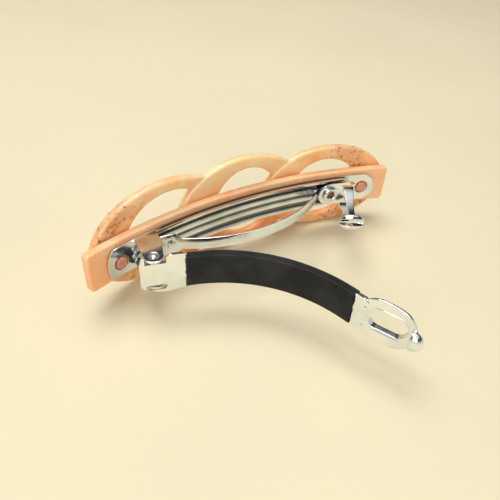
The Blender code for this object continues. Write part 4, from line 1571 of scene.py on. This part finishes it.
@dataclass
class Studio:
    """Pale table, soft light and the camera."""

    table_colour: Colour = (0.80, 0.725, 0.515)
    eye: Vector = Vector((-58.59 * MM, -94.17 * MM, 86.45 * MM))
    right: Vector = Vector((0.8555, -0.5151, 0.0533))
    up: Vector = Vector((0.2918, 0.5646, 0.7720))
    lens: float = 37.04

    def table(self) -> None:
        """A wide pale table top."""
        bpy.ops.mesh.primitive_plane_add(size=6.0, location=(0, 0, 0))
        top = bpy.context.active_object
        top.name = "table_top"
        blank = Blank("pale_table")
        graph, shader = blank.graph, blank.shader
        soft = graph.fit(graph.noise(graph.place(), 14.0, 2.0), (0.35, 0.65), (0.0, 1.0))
        colour = graph.mix(soft, self.table_colour, tuple(value * 0.97 for value in self.table_colour))
        blank.feed(Base_Color=colour)
        shader.inputs["Roughness"].default_value = 0.75
        shader.inputs["Specular IOR Level"].default_value = 0.2
        top.data.materials.append(blank.material)

    def lamp(self, name: str, place: Vector, size: float, power: float, colour: Colour) -> None:
        """One soft square lamp turned towards the barrette.

        Args:
            name: the lamp's name.
            place: where it hangs.
            size: the length of its side.
            power: watts.
            colour: the light's colour.
        """
        data = bpy.data.lights.new(name, "AREA")
        data.size = size
        data.energy = power
        data.color = colour
        lamp = bpy.data.objects.new(name, data)
        lamp.location = place
        lamp.rotation_euler = (-place).to_track_quat("-Z", "Y").to_euler()
        bpy.context.scene.collection.objects.link(lamp)

    def sky(self) -> None:
        """Even, slightly warm surroundings that darken towards the horizon, for the metal to show."""
        world = bpy.data.worlds.new("studio_room")
        world.use_nodes = True
        bpy.context.scene.world = world
        graph = Graph(world.node_tree)
        way = graph.add("ShaderNodeTexCoord").outputs["Generated"]
        rise = graph.add("ShaderNodeSeparateXYZ", {"Vector": way}).outputs["Z"]
        shade = graph.ramp(rise, ((0.0, (0.86, 0.83, 0.75)), (0.22, (0.80, 0.78, 0.71)),
                                  (0.36, (0.035, 0.035, 0.03)), (0.70, (0.05, 0.05, 0.045)),
                                  (0.84, (1.0, 0.99, 0.96)), (1.0, (1.0, 0.99, 0.96))))
        background = world.node_tree.nodes["Background"]
        world.node_tree.links.new(shade, background.inputs["Color"])
        background.inputs["Strength"].default_value = 0.8

    def camera(self) -> None:
        """The camera, rolled slightly."""
        data = bpy.data.cameras.new("camera")
        data.lens = self.lens
        data.sensor_width = 36.0
        data.clip_start = 0.005
        camera = bpy.data.objects.new("camera", data)
        back = self.right.cross(self.up).normalized()
        turn = Matrix((self.right, self.up, back)).transposed().to_4x4()
        camera.matrix_world = Matrix.Translation(self.eye) @ turn
        bpy.context.scene.collection.objects.link(camera)
        bpy.context.scene.camera = camera

    def build(self) -> None:
        """Set up the studio."""
        self.table()
        self.sky()
        self.lamp("top_light", Vector((-0.04, 0.14, 0.62)), 0.42, 2.7, (1.0, 0.98, 0.94))
        self.lamp("front_light", Vector((-0.30, -0.38, 0.32)), 0.3, 1.35, (1.0, 0.99, 0.97))
        self.camera()
        bpy.context.scene.view_settings.view_transform = "Standard"


def main() -> None:
    """Build the studio and every piece of the barrette."""
    logging.basicConfig(level=logging.INFO, format="%(name)s %(message)s")
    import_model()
    Studio().build()
    finishes = Finishes()
    hinge = Hinge()
    Ornament().build(finishes)
    BasePlate(hinge).build(finishes)
    hinge.nibs(finishes)
    Arm(hinge).build(finishes)
    TensionBar().build(finishes)
    Catch().build(finishes)


if __name__ == "__main__":
    main()
